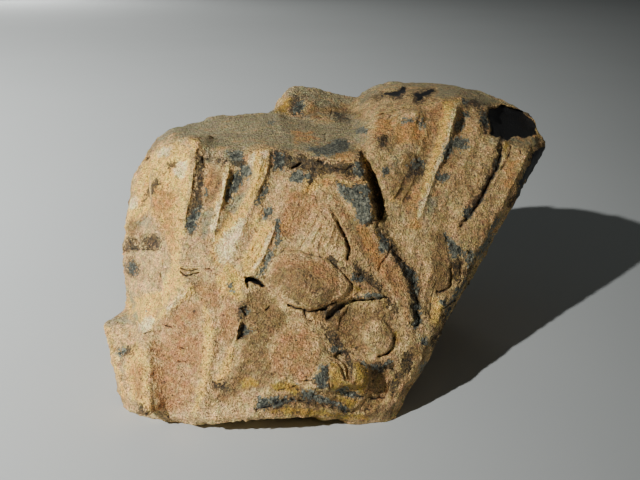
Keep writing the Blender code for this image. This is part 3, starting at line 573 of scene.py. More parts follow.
        ((284, 324), (305, 322), (319, 334), (320, 358), (312, 372), (302, 381), (273, 374),
         (269, 352)),
        ((222, 310), (240, 304), (238, 328), (230, 350), (220, 352), (220, 332)),
        ((384, 262), (394, 256), (404, 270), (412, 290), (413, 324), (406, 322), (396, 296)),
        ((284, 186), (308, 190), (320, 202), (306, 222), (294, 240), (284, 240), (282, 214)),
        ((354, 226), (366, 230), (380, 248), (392, 258), (404, 272), (412, 292), (413, 324),
         (400, 312), (384, 284), (366, 262)),
        ((326, 190), (338, 196), (352, 212), (354, 226), (362, 246), (352, 244), (342, 226)),
        ((254, 302), (272, 302), (272, 312), (256, 314)),
        ((152, 186), (176, 192), (180, 240), (168, 262), (162, 236), (150, 210)),
        ((205, 164), (225, 164), (221, 190), (212, 215), (206, 236), (199, 236), (205, 205)),
        ((270, 262), (284, 252), (308, 256), (332, 266), (346, 282), (326, 284), (300, 272),
         (272, 282)),
        ((306, 312), (324, 310), (324, 320), (308, 320)),
        ((430, 188), (444, 190), (440, 206), (428, 204)),
        ((428, 106), (446, 102), (440, 130), (432, 152), (424, 160), (424, 136)),
        ((480, 232), (490, 222), (486, 240), (476, 250)),
        ((126, 360), (146, 356), (146, 400), (134, 396)),
    ),
    "olive": (
        ((246, 290), (268, 292), (282, 304), (300, 314), (284, 326), (270, 340), (268, 354),
         (272, 374), (262, 392), (236, 400), (214, 410), (222, 386), (232, 366), (240, 345),
         (242, 324), (240, 304)),
        ((320, 318), (346, 306), (384, 304), (392, 320), (372, 322), (360, 336), (368, 352),
         (350, 350), (336, 336)),
        ((268, 280), (280, 264), (300, 266), (322, 282), (344, 288), (330, 302), (307, 308),
         (280, 296)),
        ((300, 386), (330, 394), (356, 406), (370, 412), (386, 400), (392, 380), (400, 366),
         (412, 350), (408, 370), (396, 396), (386, 420), (330, 414), (286, 412), (256, 416),
         (270, 400)),
        ((430, 232), (446, 230), (450, 262), (448, 290), (434, 300), (428, 270)),
        ((404, 150), (426, 152), (422, 180), (404, 200), (392, 196), (396, 170)),
        ((306, 98), (352, 104), (360, 118), (330, 122), (302, 118)),
        ((207, 168), (223, 166), (219, 192), (210, 214), (204, 234), (199, 234), (206, 204)),
        ((240, 180), (250, 178), (244, 196), (226, 222), (218, 232), (222, 214), (234, 196)),
        ((371, 367), (390, 364), (392, 380), (388, 398), (380, 405), (366, 411), (356, 410),
         (368, 392)),
        ((131, 150), (150, 136), (172, 126), (200, 120), (200, 134), (176, 138), (150, 150),
         (134, 170)),
        ((411, 348), (429, 345), (412, 380), (393, 412), (384, 424), (374, 420), (396, 396),
         (408, 372)),
        ((128, 220), (146, 214), (152, 230), (128, 238)),
    ),
    "ochre": (
        FACETS["ochre_left"][-1],
        ((354, 360), (362, 363), (370, 369), (369, 382), (366, 394), (359, 396), (353, 390),
         (352, 376)),
        ((393, 330), (400, 330), (402, 342), (395, 344)),
        ((268, 384), (286, 381), (302, 388), (298, 395), (284, 390), (270, 392)),
        ((334, 399), (350, 396), (362, 400), (350, 408)),
        ((238, 380), (254, 377), (258, 386), (244, 391)),
        ((262, 412), (290, 406), (330, 411), (372, 417), (368, 422), (290, 416)),
        ((374, 224), (380, 230), (382, 244), (376, 238)),
        ((352, 288), (364, 284), (362, 291), (353, 294)),
        ((450, 264), (458, 258), (464, 264), (458, 280), (451, 278)),
        ((404, 352), (412, 350), (408, 370), (398, 382), (392, 392), (392, 380), (400, 368)),
        ((340, 166), (352, 162), (354, 176), (342, 177)),
        ((272, 112), (286, 96), (294, 100), (288, 116)),
        ((505, 140), (510, 140), (506, 152), (503, 152)),
        ((384, 298), (390, 300), (386, 308), (382, 304)),
    ),
    "rust": (
        ((354, 226), (368, 226), (376, 238), (384, 256), (382, 270), (372, 260), (362, 244)),
        ((397, 124), (414, 122), (424, 134), (416, 146), (404, 150), (396, 142)),
        ((320, 181), (328, 180), (330, 188), (322, 190)),
        ((506, 160), (518, 160), (512, 186), (504, 190)),
        ((464, 124), (476, 122), (476, 134), (466, 136)),
        ((336, 152), (350, 152), (348, 162), (334, 161)),
        ((203, 178), (212, 172), (211, 188), (205, 188)),
        ((243, 152), (252, 152), (252, 170), (244, 168)),
        ((412, 186), (424, 184), (420, 202), (410, 206)),
        ((291, 133), (300, 130), (309, 134), (320, 137), (315, 142), (304, 140), (296, 144)),
        ((378, 118), (396, 114), (392, 130), (374, 136)),
        ((414, 206), (424, 208), (420, 228), (410, 226)),
        ((280, 220), (288, 214), (286, 232), (280, 236)),
    ),
}
# How softly each zone ends (view steps).
ZONE_EDGE = {"mineral": 3.0, "pitch": 1.6, "dust": 5.0, "grime_and_shade": 4.0, "cream": 3.5, "chalk_and_highlight": 3.0,
             "salmon": 6.0, "olive": 6.0, "ochre": 3.0, "rust": 5.0}


# --- Small helpers --------------------------------------------------------------------------
def linear(colour):
    """An sRGB hex colour as linear light, with alpha."""
    channels = [int(colour[i:i + 2], 16) / 255 for i in (1, 3, 5)]
    light = [c / 12.92 if c <= 0.04045 else ((c + 0.055) / 1.055) ** 2.4 for c in channels]
    return (*light, 1.0)


def add(tree, kind, inputs=None, **settings):
    """Adds a node. `inputs` gives its sockets, by name or number, a value or a link."""
    made = tree.nodes.new(kind)
    for name, value in settings.items():
        setattr(made, name, value)
    for socket, value in (inputs or {}).items():
        if isinstance(value, bpy.types.NodeSocket):
            tree.links.new(value, made.inputs[socket])
        else:
            made.inputs[socket].default_value = value
    return made


def smooth(low, high, value):
    """Rises smoothly from 0 at `low` to 1 at `high`."""
    share = np.clip((value - low) / (high - low), 0.0, 1.0)
    return share * share * (3.0 - 2.0 * share)


def in_view(place):
    """Where points, in millimetres, fall in the view of the eye in front."""
    off = place - np.array(EYE)
    depth = off[:, 1] * math.cos(PITCH) - off[:, 2] * math.sin(PITCH)
    drop = -off[:, 2] * math.cos(PITCH) - off[:, 1] * math.sin(PITCH)
    return np.stack([VIEW_WIDTH / 2 + FOCAL * off[:, 0] / depth,
                     VIEW_HEIGHT / 2 + FOCAL * drop / depth], axis=1)


def outline_distance(view, outline):
    """Distance to a closed outline in the view, negative inside it."""
    corners = np.array(outline, float)
    nearest = np.full(len(view), FAR)
    inside = np.zeros(len(view), bool)
    for start, end in zip(corners, np.roll(corners, -1, axis=0)):
        side = end - start
        share = np.clip((view - start) @ side / (side @ side), 0.0, 1.0)
        away = view - start - share[:, None] * side
        nearest = np.minimum(nearest, np.hypot(away[:, 0], away[:, 1]))
        spans = (start[1] > view[:, 1]) != (end[1] > view[:, 1])
        rise = side[1] if side[1] else 1 / FAR
        crossing = start[0] + (view[:, 1] - start[1]) * side[0] / rise
        inside ^= spans & (view[:, 0] < crossing)
    return np.where(inside, -nearest, nearest)


def line_distance(view, line):
    """Distance to an open line, positive on the right of its run down the view, and the
    share of the line at which it is nearest."""
    points = np.array(line, float)
    lengths = np.hypot(*np.diff(points, axis=0).T)
    nearest = np.full(len(view), FAR)
    side_of = np.ones(len(view))
    share_at = np.zeros(len(view))
    passed = 0.0
    for start, end, length in zip(points[:-1], points[1:], lengths):
        side = end - start
        share = np.clip((view - start) @ side / (side @ side), 0.0, 1.0)
        away = view - start - share[:, None] * side
        distance = np.hypot(away[:, 0], away[:, 1])
        closer = distance < nearest
        nearest = np.where(closer, distance, nearest)
        turn = side[1] * (view[:, 0] - start[0]) - side[0] * (view[:, 1] - start[1])
        side_of = np.where(closer, np.sign(turn), side_of)
        share_at = np.where(closer, (passed + share * length) / lengths.sum(), share_at)
        passed += length
    return nearest * side_of, share_at


def line_foot(view, line):
    """The nearest spot of an open line for each point of the view, and its distance."""
    points = np.array(line, float)
    foot = np.full(view.shape, FAR)
    nearest = np.full(len(view), FAR)
    for start, end in zip(points[:-1], points[1:]):
        side = end - start
        share = np.clip((view - start) @ side / (side @ side), 0.0, 1.0)
        spot = start + share[:, None] * side
        distance = np.hypot(*(view - spot).T)
        foot = np.where((distance < nearest)[:, None], spot, foot)
        nearest = np.minimum(nearest, distance)
    return foot, nearest


def each(place, rule):
    """Runs a rule for one point, as a Vector in millimetres, over all of them."""
    return np.array([rule(Vector(point)) for point in place])


# --- The surface ----------------------------------------------------------------------------
def grained_copy(name, grain):
    """The solid's mesh, joined up and rebuilt from grains of an even size."""
    mesh = bpy.data.objects[SOLID].data.copy()
    shape = bmesh.new()
    shape.from_mesh(mesh)
    bmesh.ops.remove_doubles(shape, verts=shape.verts, dist=WELD)
    shape.to_mesh(mesh)
    shape.free()
    rough = bpy.data.objects.new(name, mesh)
    bpy.context.scene.collection.objects.link(rough)
    grains = rough.modifiers.new("grains", "REMESH")
    grains.mode = "VOXEL"
    grains.voxel_size = grain * MM
    graph = bpy.context.evaluated_depsgraph_get()
    rebuilt = bpy.data.meshes.new_from_object(rough.evaluated_get(graph), depsgraph=graph)
    bpy.data.objects.remove(rough, do_unlink=True)
    bpy.data.meshes.remove(mesh)
    rebuilt.name = name
    return rebuilt


def soften(shape, rounds):
    """Takes the flat cuts of the solid off, but leaves the level it stands on."""
    free = [v for v in shape.verts if v.co.z > FOOT_SOFT * MM]
    for _ in range(rounds):
        bmesh.ops.smooth_vert(shape, verts=free, factor=0.5, use_axis_x=True, use_axis_y=True,
                              use_axis_z=True)


def refine_front(shape, reach=2.4):
    """Divides the grains that the eye in front can see, and again along the features."""
    eye = Vector(EYE) * MM
    for face in shape.faces:
        way = (eye - face.calc_center_median()).normalized()
        face.tag = way.dot(face.normal) > DIVIDED
    edges = [e for e in shape.edges if any(face.tag for face in e.link_faces)]
    bmesh.ops.subdivide_edges(shape, edges=edges, cuts=1, use_grid_fill=True)
    place, normal = arrays(shape)
    view = wandered(in_view(place))
    near = np.zeros(len(place), bool)
    for line in feature_lines():
        near |= line_foot(view, line)[1] < reach
    near &= np.sum(toward_eye(place) * normal, axis=1) > DIVIDED_AGAIN
    shape.verts.index_update()
    edges = [e for e in shape.edges if near[e.verts[0].index] and near[e.verts[1].index]]
    bmesh.ops.subdivide_edges(shape, edges=edges, cuts=1, use_grid_fill=True)


def arrays(shape):
    """Places in millimetres and normals of a bmesh's points."""
    shape.normal_update()
    place = np.array([v.co for v in shape.verts], float) / MM
    normal = np.array([v.normal for v in shape.verts], float)
    return place, normal


def put(shape, place, moved, lowest):
    """Moves the points, in millimetres, but leaves the level they stand on as high as it is."""
    level = place[:, 2] < FOOT
    moved[:, 2] = np.where(level, place[:, 2], np.maximum(moved[:, 2], lowest))
    for vert, point in zip(shape.verts, moved):
        vert.co = Vector(point) * MM


def toward_eye(place):
    """Directions from points, in millimetres, to the eye in front."""
    way = np.array(EYE) - place
    return way / np.linalg.norm(way, axis=1)[:, None]


def feature_lines(rims=True):
    """The lines of the view that a crest, a groove or the rim of a facet follows."""
    lines = [line for *_, line in (*RIDGES.values(), *CRACKS.values())]
    if rims:
        lines += [outline + outline[:1] for *_, outline in FACETS.values()]
    return lines


def slide_in_view(shape, target):
    """Moves points square to the eye's line of sight until they show at `target`."""
    place, _ = arrays(shape)
    across, down = (target - in_view(place)).T / FOCAL
    depth = (place - np.array(EYE)) @ np.array((0, math.cos(PITCH), -math.sin(PITCH)))
    step = np.stack([across, -down * math.sin(PITCH), -down * math.cos(PITCH)], axis=1)
    put(shape, place, place + step * depth[:, None], lowest=0.0)


def snap_to_features(shape, reach=0.75):
    """Draws the points beside a crest or groove onto it, so that it comes out crisp."""
    place, normal = arrays(shape)
    view = in_view(place)
    seen = np.sum(toward_eye(place) * normal, axis=1) > DRAWN
    drawn = wandered(view)
    shift, nearest = np.zeros_like(view), np.full(len(view), reach)
    for line in feature_lines(rims=False):
        foot, distance = line_foot(drawn, line)
        closer = (distance < nearest) & seen
        shift[closer], nearest = (foot - drawn)[closer], np.where(closer, distance, nearest)
    slide_in_view(shape, view + shift)


def reach_by_angle(turns, reaches, steps):
    """The farthest reach in each of `steps` directions round the middle of the view."""
    slot = ((turns / (2 * math.pi) + 0.5) * steps).astype(int) % steps
    reach = np.zeros(steps)
    np.maximum.at(reach, slot, reaches)
    return reach


def fit_outline(shape, steps=900, side_points=60, least=0.9, most=1.1, spread=4, rim_from=0.72):
    """Draws the points near the rim in or out in the view, until its edge is OUTLINE."""
    place, _ = arrays(shape)
    view = in_view(place)
    off = view - np.array(VIEW_MIDDLE)
    turns, reaches = np.arctan2(off[:, 1], off[:, 0]), np.hypot(off[:, 0], off[:, 1])
    own = reach_by_angle(turns, reaches, steps)
    corners = np.array(OUTLINE + OUTLINE[:1], float)
    share = np.linspace(0, 1, side_points, endpoint=False)[:, None]
    rim = np.concatenate([a + (b - a) * share for a, b in zip(corners[:-1], corners[1:])])
    across, down = (rim - np.array(VIEW_MIDDLE)).T
    wanted = reach_by_angle(np.arctan2(down, across), np.hypot(across, down), steps)
    ratio = np.clip(wanted / np.maximum(own, 1.0), least, most)
    window = 2 * spread + 1
    ratio = np.r_[ratio[-spread:], ratio, ratio[:spread]]
    ratio = np.convolve(ratio, np.ones(window) / window, mode="valid")
    slot = (turns / (2 * math.pi) + 0.5) * steps
    ratio = np.interp(slot, np.arange(steps + 1), np.r_[ratio, ratio[0]])
    near_rim = smooth(rim_from, 1.0, reaches / own[slot.astype(int) % steps])
    scale = 1 + (ratio - 1) * near_rim
    slide_in_view(shape, np.array(VIEW_MIDDLE) + off * scale[:, None])


def crystal_grain(point, spacing, seed):
    """Height of the fine ridges along crystals that fan out of FAN_ROOT."""
    ray = point - Vector(FAN_ROOT)
    reach = ray.length
    across = ray * (FAN_REACH / (reach * spacing))
    return noise.noise(across + Vector((seed, reach / (spacing * RUN_LENGTH), 0)))


def saddle_grain(point, spacing, seed):
    """The same along the crystals between the two blocks."""
    along = Vector(SADDLE_ALONG).normalized()
    run = point.dot(along)
    across = point - along * run
    return noise.noise(across / spacing + Vector((seed, run / (spacing * RUN_LENGTH), 3.0)))


def broken_faces(point, size, seed, unlike=9.7, step=0.35):
    """Height of small flat faces, each tilted its own way, as stone breaks. `unlike` keeps
    one tilt from the next, and `step` is how far the faces stand apart."""
    spot = point / size + Vector((seed, 0, 0))
    centre = noise.voronoi(spot)[1][0]
    tilt = noise.noise_vector(centre * unlike)
    return tilt.dot(spot - centre) + step * tilt.x


def wandered(view, nudges=LINE_NUDGE):
    """The view with its places nudged about, so that drawn lines run unevenly."""
    broad, small = nudges

    def nudge(spot):
        x, y = spot
        return (noise.noise_vector(Vector((x / BROAD_WAVE, y / BROAD_WAVE, 3))) * broad
                + noise.noise_vector(Vector((x / SMALL_WAVE, y / SMALL_WAVE, 9))) * small)[:2]
    return view + np.array([nudge(spot) for spot in view])


def feature_relief(view):
    """Height of the front's ridges, cracks and facets, in mm, and where the cracks are, for the
    painted shade laid into them.
    """
    height = np.zeros(len(view))
    crack_shade = np.zeros(len(view))
    patchy = np.array([noise.noise(Vector((x / CRACK_WAVE, y / CRACK_WAVE, 1)))
                       for x, y in view])
    patchy = np.clip(0.75 + 1.1 * patchy, 0.2, 1.15)   # cracks come and go, shallow ones more
    for rise, gentle, steep, crest in RIDGES.values():
        off, share = line_distance(view, crest)
        slope = np.where(off < 0, 1 + off / gentle, 1 - off / steep)
        fade = smooth(-0.02, 0.12, share) * smooth(1.0, 0.8, share)
        height += rise * np.clip(slope, 0, 1) * fade
    for proud, edge, outline in FACETS.values():
        off = outline_distance(view, outline)
        height += proud * smooth(edge / 2, -edge / 2, off)
    for deep, width, run in CRACKS.values():
        off, _ = line_distance(view, run)
        inside = smooth(width * 0.75, 0.0, np.abs(off))
        inside *= patchy if deep < 1.0 else 0.5 + 0.5 * patchy
        height -= deep * inside
        # Deeper cracks take darker painted shade
        crack_shade = np.maximum(crack_shade, inside * min(1.0, deep))
    return height, crack_shade


def zone_fields(view):
    """One soft field a zone: 1 inside its outlines, 0 outside, a half on the line."""
    fields = {}
    for zone, outlines in ZONES.items():
        edge = ZONE_EDGE[zone]
        field = np.zeros(len(view))
        for outline in outlines:
            off = outline_distance(view, outline)
            field = np.maximum(field, np.clip(0.5 - off / (2 * edge), 0, 1))
        fields[zone] = field
    return fields


def curvature(shape, place, normal, rounds=2, own=0.4):
    """How far each point stands out of its neighbours: above 0 on crests and below it in
    hollows. In each round a point keeps its `own` share and takes the rest from them."""
    ends = np.array([[v.index for v in e.verts] for e in shape.edges])
    total = np.zeros_like(place)
    count = np.zeros(len(place))
    for one, other in ((0, 1), (1, 0)):
        np.add.at(total, ends[:, one], place[ends[:, other]])
        np.add.at(count, ends[:, one], 1)
    around = total / count[:, None]
    spacing = np.zeros(len(place))
    length = np.linalg.norm(place[ends[:, 0]] - place[ends[:, 1]], axis=1)
    np.add.at(spacing, ends[:, 0], length)
    np.add.at(spacing, ends[:, 1], length)
    bend = np.sum((place - around) * normal, axis=1) / (spacing / count)
    for _ in range(rounds):
        total = np.zeros(len(place))
        np.add.at(total, ends[:, 0], bend[ends[:, 1]])
        np.add.at(total, ends[:, 1], bend[ends[:, 0]])
        bend = own * bend + (1 - own) * total / count
    return bend


def scoop_field(place, scoop):
    """1 on the wall of a shell-shaped break."""
    centre, radius = scoop
    off = np.linalg.norm(place - np.array(centre), axis=1) - radius
    return smooth(*SCOOP_WALL, np.abs(off))


def hidden_fields(place, normal, seen):
    """Zones of the sides, back and top that the eye in front doesn't see."""
    hidden = 1.0 - seen
    streak = each(place, lambda p: (crystal_grain(p, STREAK_SPACING, 11.0)
                                    + 0.5 * noise.noise(p / STREAK_SIZE)))
    broad = each(place, lambda p: noise.noise(p / BROAD_SIZE + Vector((5, 1, 8))))
    other = each(place, lambda p: noise.noise(p / OTHER_SIZE + Vector((9, 4, 2))))
    up = normal[:, 2]
    scoops = np.maximum(scoop_field(place, BACK_SCOOP), scoop_field(place, LEFT_SCOOP))
    fields = {
        "mineral": smooth(0.1, 0.7, streak) * smooth(-0.3, 0.3, broad) + 0.4 * scoops,
        "pitch": 0.6 * scoops * smooth(-0.35, 0.25, broad),
        "dust": smooth(0.35, 0.85, up + 0.5 * other),
        "cream": smooth(0.1, 0.6, broad) * 0.8,
        "salmon": smooth(0.1, 0.5, -broad) * 0.8,
        "olive": smooth(-0.1, 0.5, other) * 0.9,
        "ochre": smooth(0.2, 0.6, other) * smooth(30.0, 8.0, place[:, 2]) * 0.9,
        "rust": smooth(0.3, 0.6, -other) * 0.8,
        "grime_and_shade": smooth(0.05, 0.5, -streak) * 0.7,
        "chalk_and_highlight": smooth(0.45, 0.8, broad) * 0.5,
    }
    return {zone: np.clip(field, 0, 1) * hidden for zone, field in fields.items()}


def work_surface(shape, sizes):
    """Raises and sinks the points, and returns the fields that the finish reads."""
    place, normal = arrays(shape)
    to_eye = toward_eye(place)
    view = in_view(place)
    facing = np.sum(to_eye * normal, axis=1)
    front, seen = smooth(*WORKED, facing), smooth(*SEEN, facing)
    free = smooth(0.0, FOOT_FREE, place[:, 2])

    features, crack_shade = feature_relief(wandered(view))
    fields = zone_fields(wandered(view, ZONE_NUDGE))
    hidden = hidden_fields(place, normal, seen)
    for zone in fields:
        fields[zone] = fields[zone] * seen + hidden[zone]

    # Along the crystals, in patches
    saddle = smooth(SADDLE_EDGE, -SADDLE_EDGE, outline_distance(view, SADDLE)) * front
    fan, cross = (
        each(place, lambda p: run(p, spacing, 0.0) + 0.6 * run(p, HAIR_SPACING, 7.0))
        for run, spacing in ((crystal_grain, FAN_SPACING), (saddle_grain, SADDLE_SPACING)))
    along = fan * (1 - saddle) + cross * saddle
    where = each(place, lambda p: noise.noise(p / STRIPED_SIZE + Vector((2, 2, 6))))
    striped = smooth(-0.45, 0.25, where)

    # Small broken faces and crumbs, less of them where the surface is calm
    chips = each(place, lambda p: (broken_faces(p, FACE_SIZE, 0.0) * 1.3
                                   + broken_faces(p, FLAKE_SIZE, 40.0)))
    chips = chips * (2.0 - front)
    crumbs = each(place, lambda p: (noise.noise(p / CRUMB_SIZE)
                                    + 0.7 * noise.noise(p / GRAIN_SIZE)))
    swell = each(place, lambda p: noise.noise(p / SWELL_SIZE + Vector((3, 7, 1))))
    calm = 1.0 - 0.75 * fields["pitch"] - 0.5 * smooth(0.3, 0.8, fields["dust"])
    dome = outline_distance(view, FACETS["half_round"][-1])
    dome = smooth(DOME_EDGE, -DOME_EDGE, dome) * front
    calm = np.clip(calm - 0.55 * dome, 0.1, 1.0)
    rough = np.clip(fields["grime_and_shade"] + 0.6 * fields["mineral"], 0, 1)

    height = sizes.striation * along * striped * calm
    height += sizes.chip * chips * calm
    height += sizes.crumb * crumbs * calm * (1 + 1.4 * rough)
    height += SWELL * swell * calm
    # Two steps on the hidden sides, with their middle height taken off
    back_ledges = each(place, lambda p: crystal_grain(p, LEDGE_SPACING, 3.0))
    terrace = smooth(-0.06, 0.06, back_ledges) + smooth(0.16, 0.24, back_ledges) - 0.9
    height += sizes.ledge * terrace * (1 - front) * (1 - fields["pitch"])

    moved = place + normal * (height * free)[:, None]
    moved = moved + to_eye * (features * front * free)[:, None]
    low, high = (np.array(corner) / MM for corner in CAD_BOX)
    put(shape, place, np.clip(moved, low + MARGIN, high - MARGIN), lowest=low[2])
    place, normal = arrays(shape)
    bend = curvature(shape, place, normal)
    fields["crest"] = smooth(0.03, 0.22, bend)
    # Painted shade: the finish darkens hollows and cracks by these two fields
    fields["cavity_shade"] = smooth(0.03, 0.25, -bend)
    fields["crack_shade"] = crack_shade * front
    return fields


def build_lump(sizes):
    """The finished surface of the specimen, as one closed mesh with its zone fields."""
    noise.seed_set(SEED)
    mesh = grained_copy("crusted_euxenite", sizes.grain)
    shape = bmesh.new()
    shape.from_mesh(mesh)
    soften(shape, rounds=3)
    shape.normal_update()
    refine_front(shape)
    soften(shape, rounds=1)
    fit_outline(shape)
    snap_to_features(shape)
    shape.verts.ensure_lookup_table()
    shape.verts.index_update()
    fields = work_surface(shape, sizes)
    bmesh.ops.triangulate(shape, faces=shape.faces)
    shape.to_mesh(mesh)
    shape.free()
    for name, values in fields.items():
        field = mesh.attributes.new(name, "FLOAT", "POINT")
        field.data.foreach_set("value", values.astype(np.float32))
    mesh.shade_smooth()
    mesh.set_sharp_from_angle(angle=SHARP)
    lump = bpy.data.objects.new("crusted_euxenite", mesh)
    bpy.context.scene.collection.objects.link(lump)
    return lump


# --- Finish ---------------------------------------------------------------------------------
def stain(tree, skin, colour, field, wander, low, high, share):
    """Lays a colour over the skin where a field plus its wander is above `low`, and from
    `high` on with the whole of its share. A `low` above `high` turns that round."""
    where = add(tree, "ShaderNodeMath", {0: field, 1: wander}, operation="ADD").outputs[0]
    where = add(tree, "ShaderNodeMapRange",
                {"Value": where, "From Min": low, "From Max": high, "To Max": share},
                interpolation_type="SMOOTHSTEP").outputs["Result"]
    return add(tree, "ShaderNodeMix", {0: where, 6: skin, 7: colour}, data_type="RGBA").outputs[2]


def crusted_euxenite(colours):
    """Weathered euxenite: a dull, sugary crust of alteration minerals, buff to salmon and
    ochre, over blue-black mineral. To the eye the crust is chalky and speckled, bare
    mineral is darker and a little glossy, and a fresh break is black with a low sheen."""
    material = bpy.data.materials.new("crusted_euxenite")
    material.use_nodes = True
    tree = material.node_tree
    shader = tree.nodes["Principled BSDF"]
    shader.inputs["IOR"].default_value = REFRACTION
    fields = {name: add(tree, "ShaderNodeAttribute", attribute_name=name).outputs["Fac"]
              for name in (*ZONES, "crest", "cavity_shade", "crack_shade")}

    # Places in millimetres, and the way out from where the crystals fan out
    place = add(tree, "ShaderNodeTexCoord").outputs["Object"]
    place = add(tree, "ShaderNodeMapping",
                {"Vector": place, "Scale": (1 / MM, 1 / MM, 1 / MM)}).outputs[0]
    ray = add(tree, "ShaderNodeVectorMath", {0: place, 1: FAN_ROOT},
              operation="SUBTRACT").outputs[0]
    reach = add(tree, "ShaderNodeVectorMath", {0: ray}, operation="LENGTH").outputs["Value"]
    way = add(tree, "ShaderNodeVectorMath", {0: ray}, operation="NORMALIZE").outputs[0]
    way = add(tree, "ShaderNodeVectorMath", {0: way, "Scale": FAN_REACH},
              operation="SCALE").outputs[0]

    # Grain of several sizes: its size (mm), detail, roughness and warp. Streaks and bands
    # along the crystals: width and length (mm). Cells, clots and pits: size (mm).
    grain = {}
    for name, (size, detail, rough, warp) in {
            "broad": (12.0, 4.0, 0.55, 0.4), "patch": (3.4, 5.0, 0.65, 0.6),
            "other": (6.0, 4.0, 0.6, 0.8), "fleck": (1.5, 3.0, 0.7, 0.3),
            "sugar": (0.75, 3.0, 0.62, 0.0), "grit": (0.28, 2.0, 0.6, 0.0)}.items():
        grain[name] = add(tree, "ShaderNodeTexNoise", {
            "Vector": place, "Scale": 1.0 / size, "Detail": detail, "Roughness": rough,
            "Distortion": warp}).outputs["Fac"]
    for name, (size, run) in {"streak": (0.8, 9.0), "band": (2.6, 26.0)}.items():
        along = add(tree, "ShaderNodeMath", {0: reach, 1: run}, operation="DIVIDE").outputs[0]
        grain[name] = add(tree, "ShaderNodeTexNoise", {
            "Vector": way, "W": along, "Scale": 1.0 / size, "Detail": 2.0, "Roughness": 0.6},
            noise_dimensions="4D").outputs["Fac"]
    cells, clots, pits = (
        add(tree, "ShaderNodeTexVoronoi", {"Vector": place, "Scale": 1 / size}).outputs
        for size in (0.5, 1.0, 2.1))
    tints = add(tree, "ShaderNodeTexNoise", {"Vector": place, "Scale": 1 / 1.6, "Detail": 4.0,
                                             "Roughness": 0.75})

    # How zone edges wander: a coarse grain and a fine one, each with its share. Ragged
    # follows patches, drift is broader, crumbly follows flecks and grainy single grains.
    wander = {}
    for name, (first, size, second, fine) in {
            "ragged": ("patch", 2.0, "sugar", 1.1), "drift": ("other", 2.4, "fleck", 1.2),
            "crumbly": ("fleck", 1.1, "sugar", 0.8)}.items():
        middle = -(size + fine) / 2
        coarse = add(tree, "ShaderNodeMath", {0: grain[first], 1: size, 2: middle},
                     operation="MULTIPLY_ADD").outputs[0]
        wander[name] = add(tree, "ShaderNodeMath", {0: grain[second], 1: fine, 2: coarse},
                           operation="MULTIPLY_ADD").outputs[0]
    clot = add(tree, "ShaderNodeMath", {0: clots["Color"], 1: 0.5, 2: wander["crumbly"]},
               operation="MULTIPLY_ADD").outputs[0]
    wander["grainy"] = add(tree, "ShaderNodeMath", {0: cells["Color"], 1: 0.8, 2: clot},
                           operation="MULTIPLY_ADD").outputs[0]   # 0.65 on average

    # The crust: brown and buff, with patches and bands of olive, orange and a paler buff,
    # and then its zones. Each colour comes in between two values of its grain or field.
    skin = colours.crust_deep
    for colour, texture, low, high, share in (
            (colours.crust, grain["patch"], 0.38, 0.60, 1.0),
            (colours.olive, grain["band"], 0.50, 0.66, 0.4),
            (colours.orange, grain["broad"], 0.46, 0.62, 0.4),
            (colours.crust_pale, grain["fleck"], 0.54, 0.72, 0.45),
            (colours.crust_pale, clots["Color"], 0.6, 0.8, 0.4)):
        skin = stain(tree, skin, colour, texture, 0.0, low, high, share)
    for zone, colour, edge, low, high, share in (
            ("cream", colours.cream, "ragged", 0.2, 1.1, 0.85),
            ("salmon", colours.salmon, "drift", 0.2, 1.2, 0.7),
            ("olive", colours.umber, "drift", 0.2, 1.0, 0.92),
            ("dust", colours.dust, "drift", 0.25, 0.95, 0.85),
            ("ochre", colours.ochre, "ragged", 0.3, 0.95, 0.92),
            ("rust", colours.rust, "drift", 0.2, 1.0, 0.8),
            # Chalk, also painted highlight on lit spots
            ("chalk_and_highlight", colours.chalk_and_highlight, "ragged", 0.25, 0.95, 0.9)):
        skin = stain(tree, skin, colour, fields[zone], wander[edge], low, high, share)
    skin = stain(tree, skin, colours.crust_pale, fields["crest"], 0.0, 0.0, 1.0, 0.55)

    # Grains of many tints, light and dark, and streaks along the crystals
    tint = add(tree, "ShaderNodeVectorMath", {0: tints.outputs["Color"], 1: (0.9, 0.7, 1.0),
                                              2: (0.55, 0.65, 0.5)},
               operation="MULTIPLY_ADD").outputs[0]
    skin = add(tree, "ShaderNodeMix", {0: 1.0, 6: skin, 7: tint}, data_type="RGBA",
               blend_type="MULTIPLY").outputs[2]
    shade = 1.0
    for texture, share in ((grain["sugar"], 1.1), (grain["grit"], 3.0), (grain["streak"], 0.6),
                           (cells["Color"], 0.7)):
        part = add(tree, "ShaderNodeMath", {0: texture, 1: share, 2: 1 - share / 2},
                   operation="MULTIPLY_ADD").outputs[0]
        shade = add(tree, "ShaderNodeMath", {0: shade, 1: part}, operation="MULTIPLY").outputs[0]
    skin = add(tree, "ShaderNodeMix", {0: 1.0, 6: skin, 7: shade}, data_type="RGBA",
               blend_type="MULTIPLY").outputs[2]
    brown = add(tree, "ShaderNodeMath", {0: grain["grit"], 1: grain["fleck"]},
                operation="MULTIPLY").outputs[0]
    skin = stain(tree, skin, colours.grain_dark, brown, 0.0, 0.205, 0.16, 0.6)
    # Small pits darkened with the crevice colour: painted shade in pits
    pit = add(tree, "ShaderNodeMath", {0: grain["other"], 1: pits["Distance"]},
              operation="SUBTRACT").outputs[0]
    skin = stain(tree, skin, colours.crevice_shade, pit, 0.0, 0.38, 0.5, 0.7)

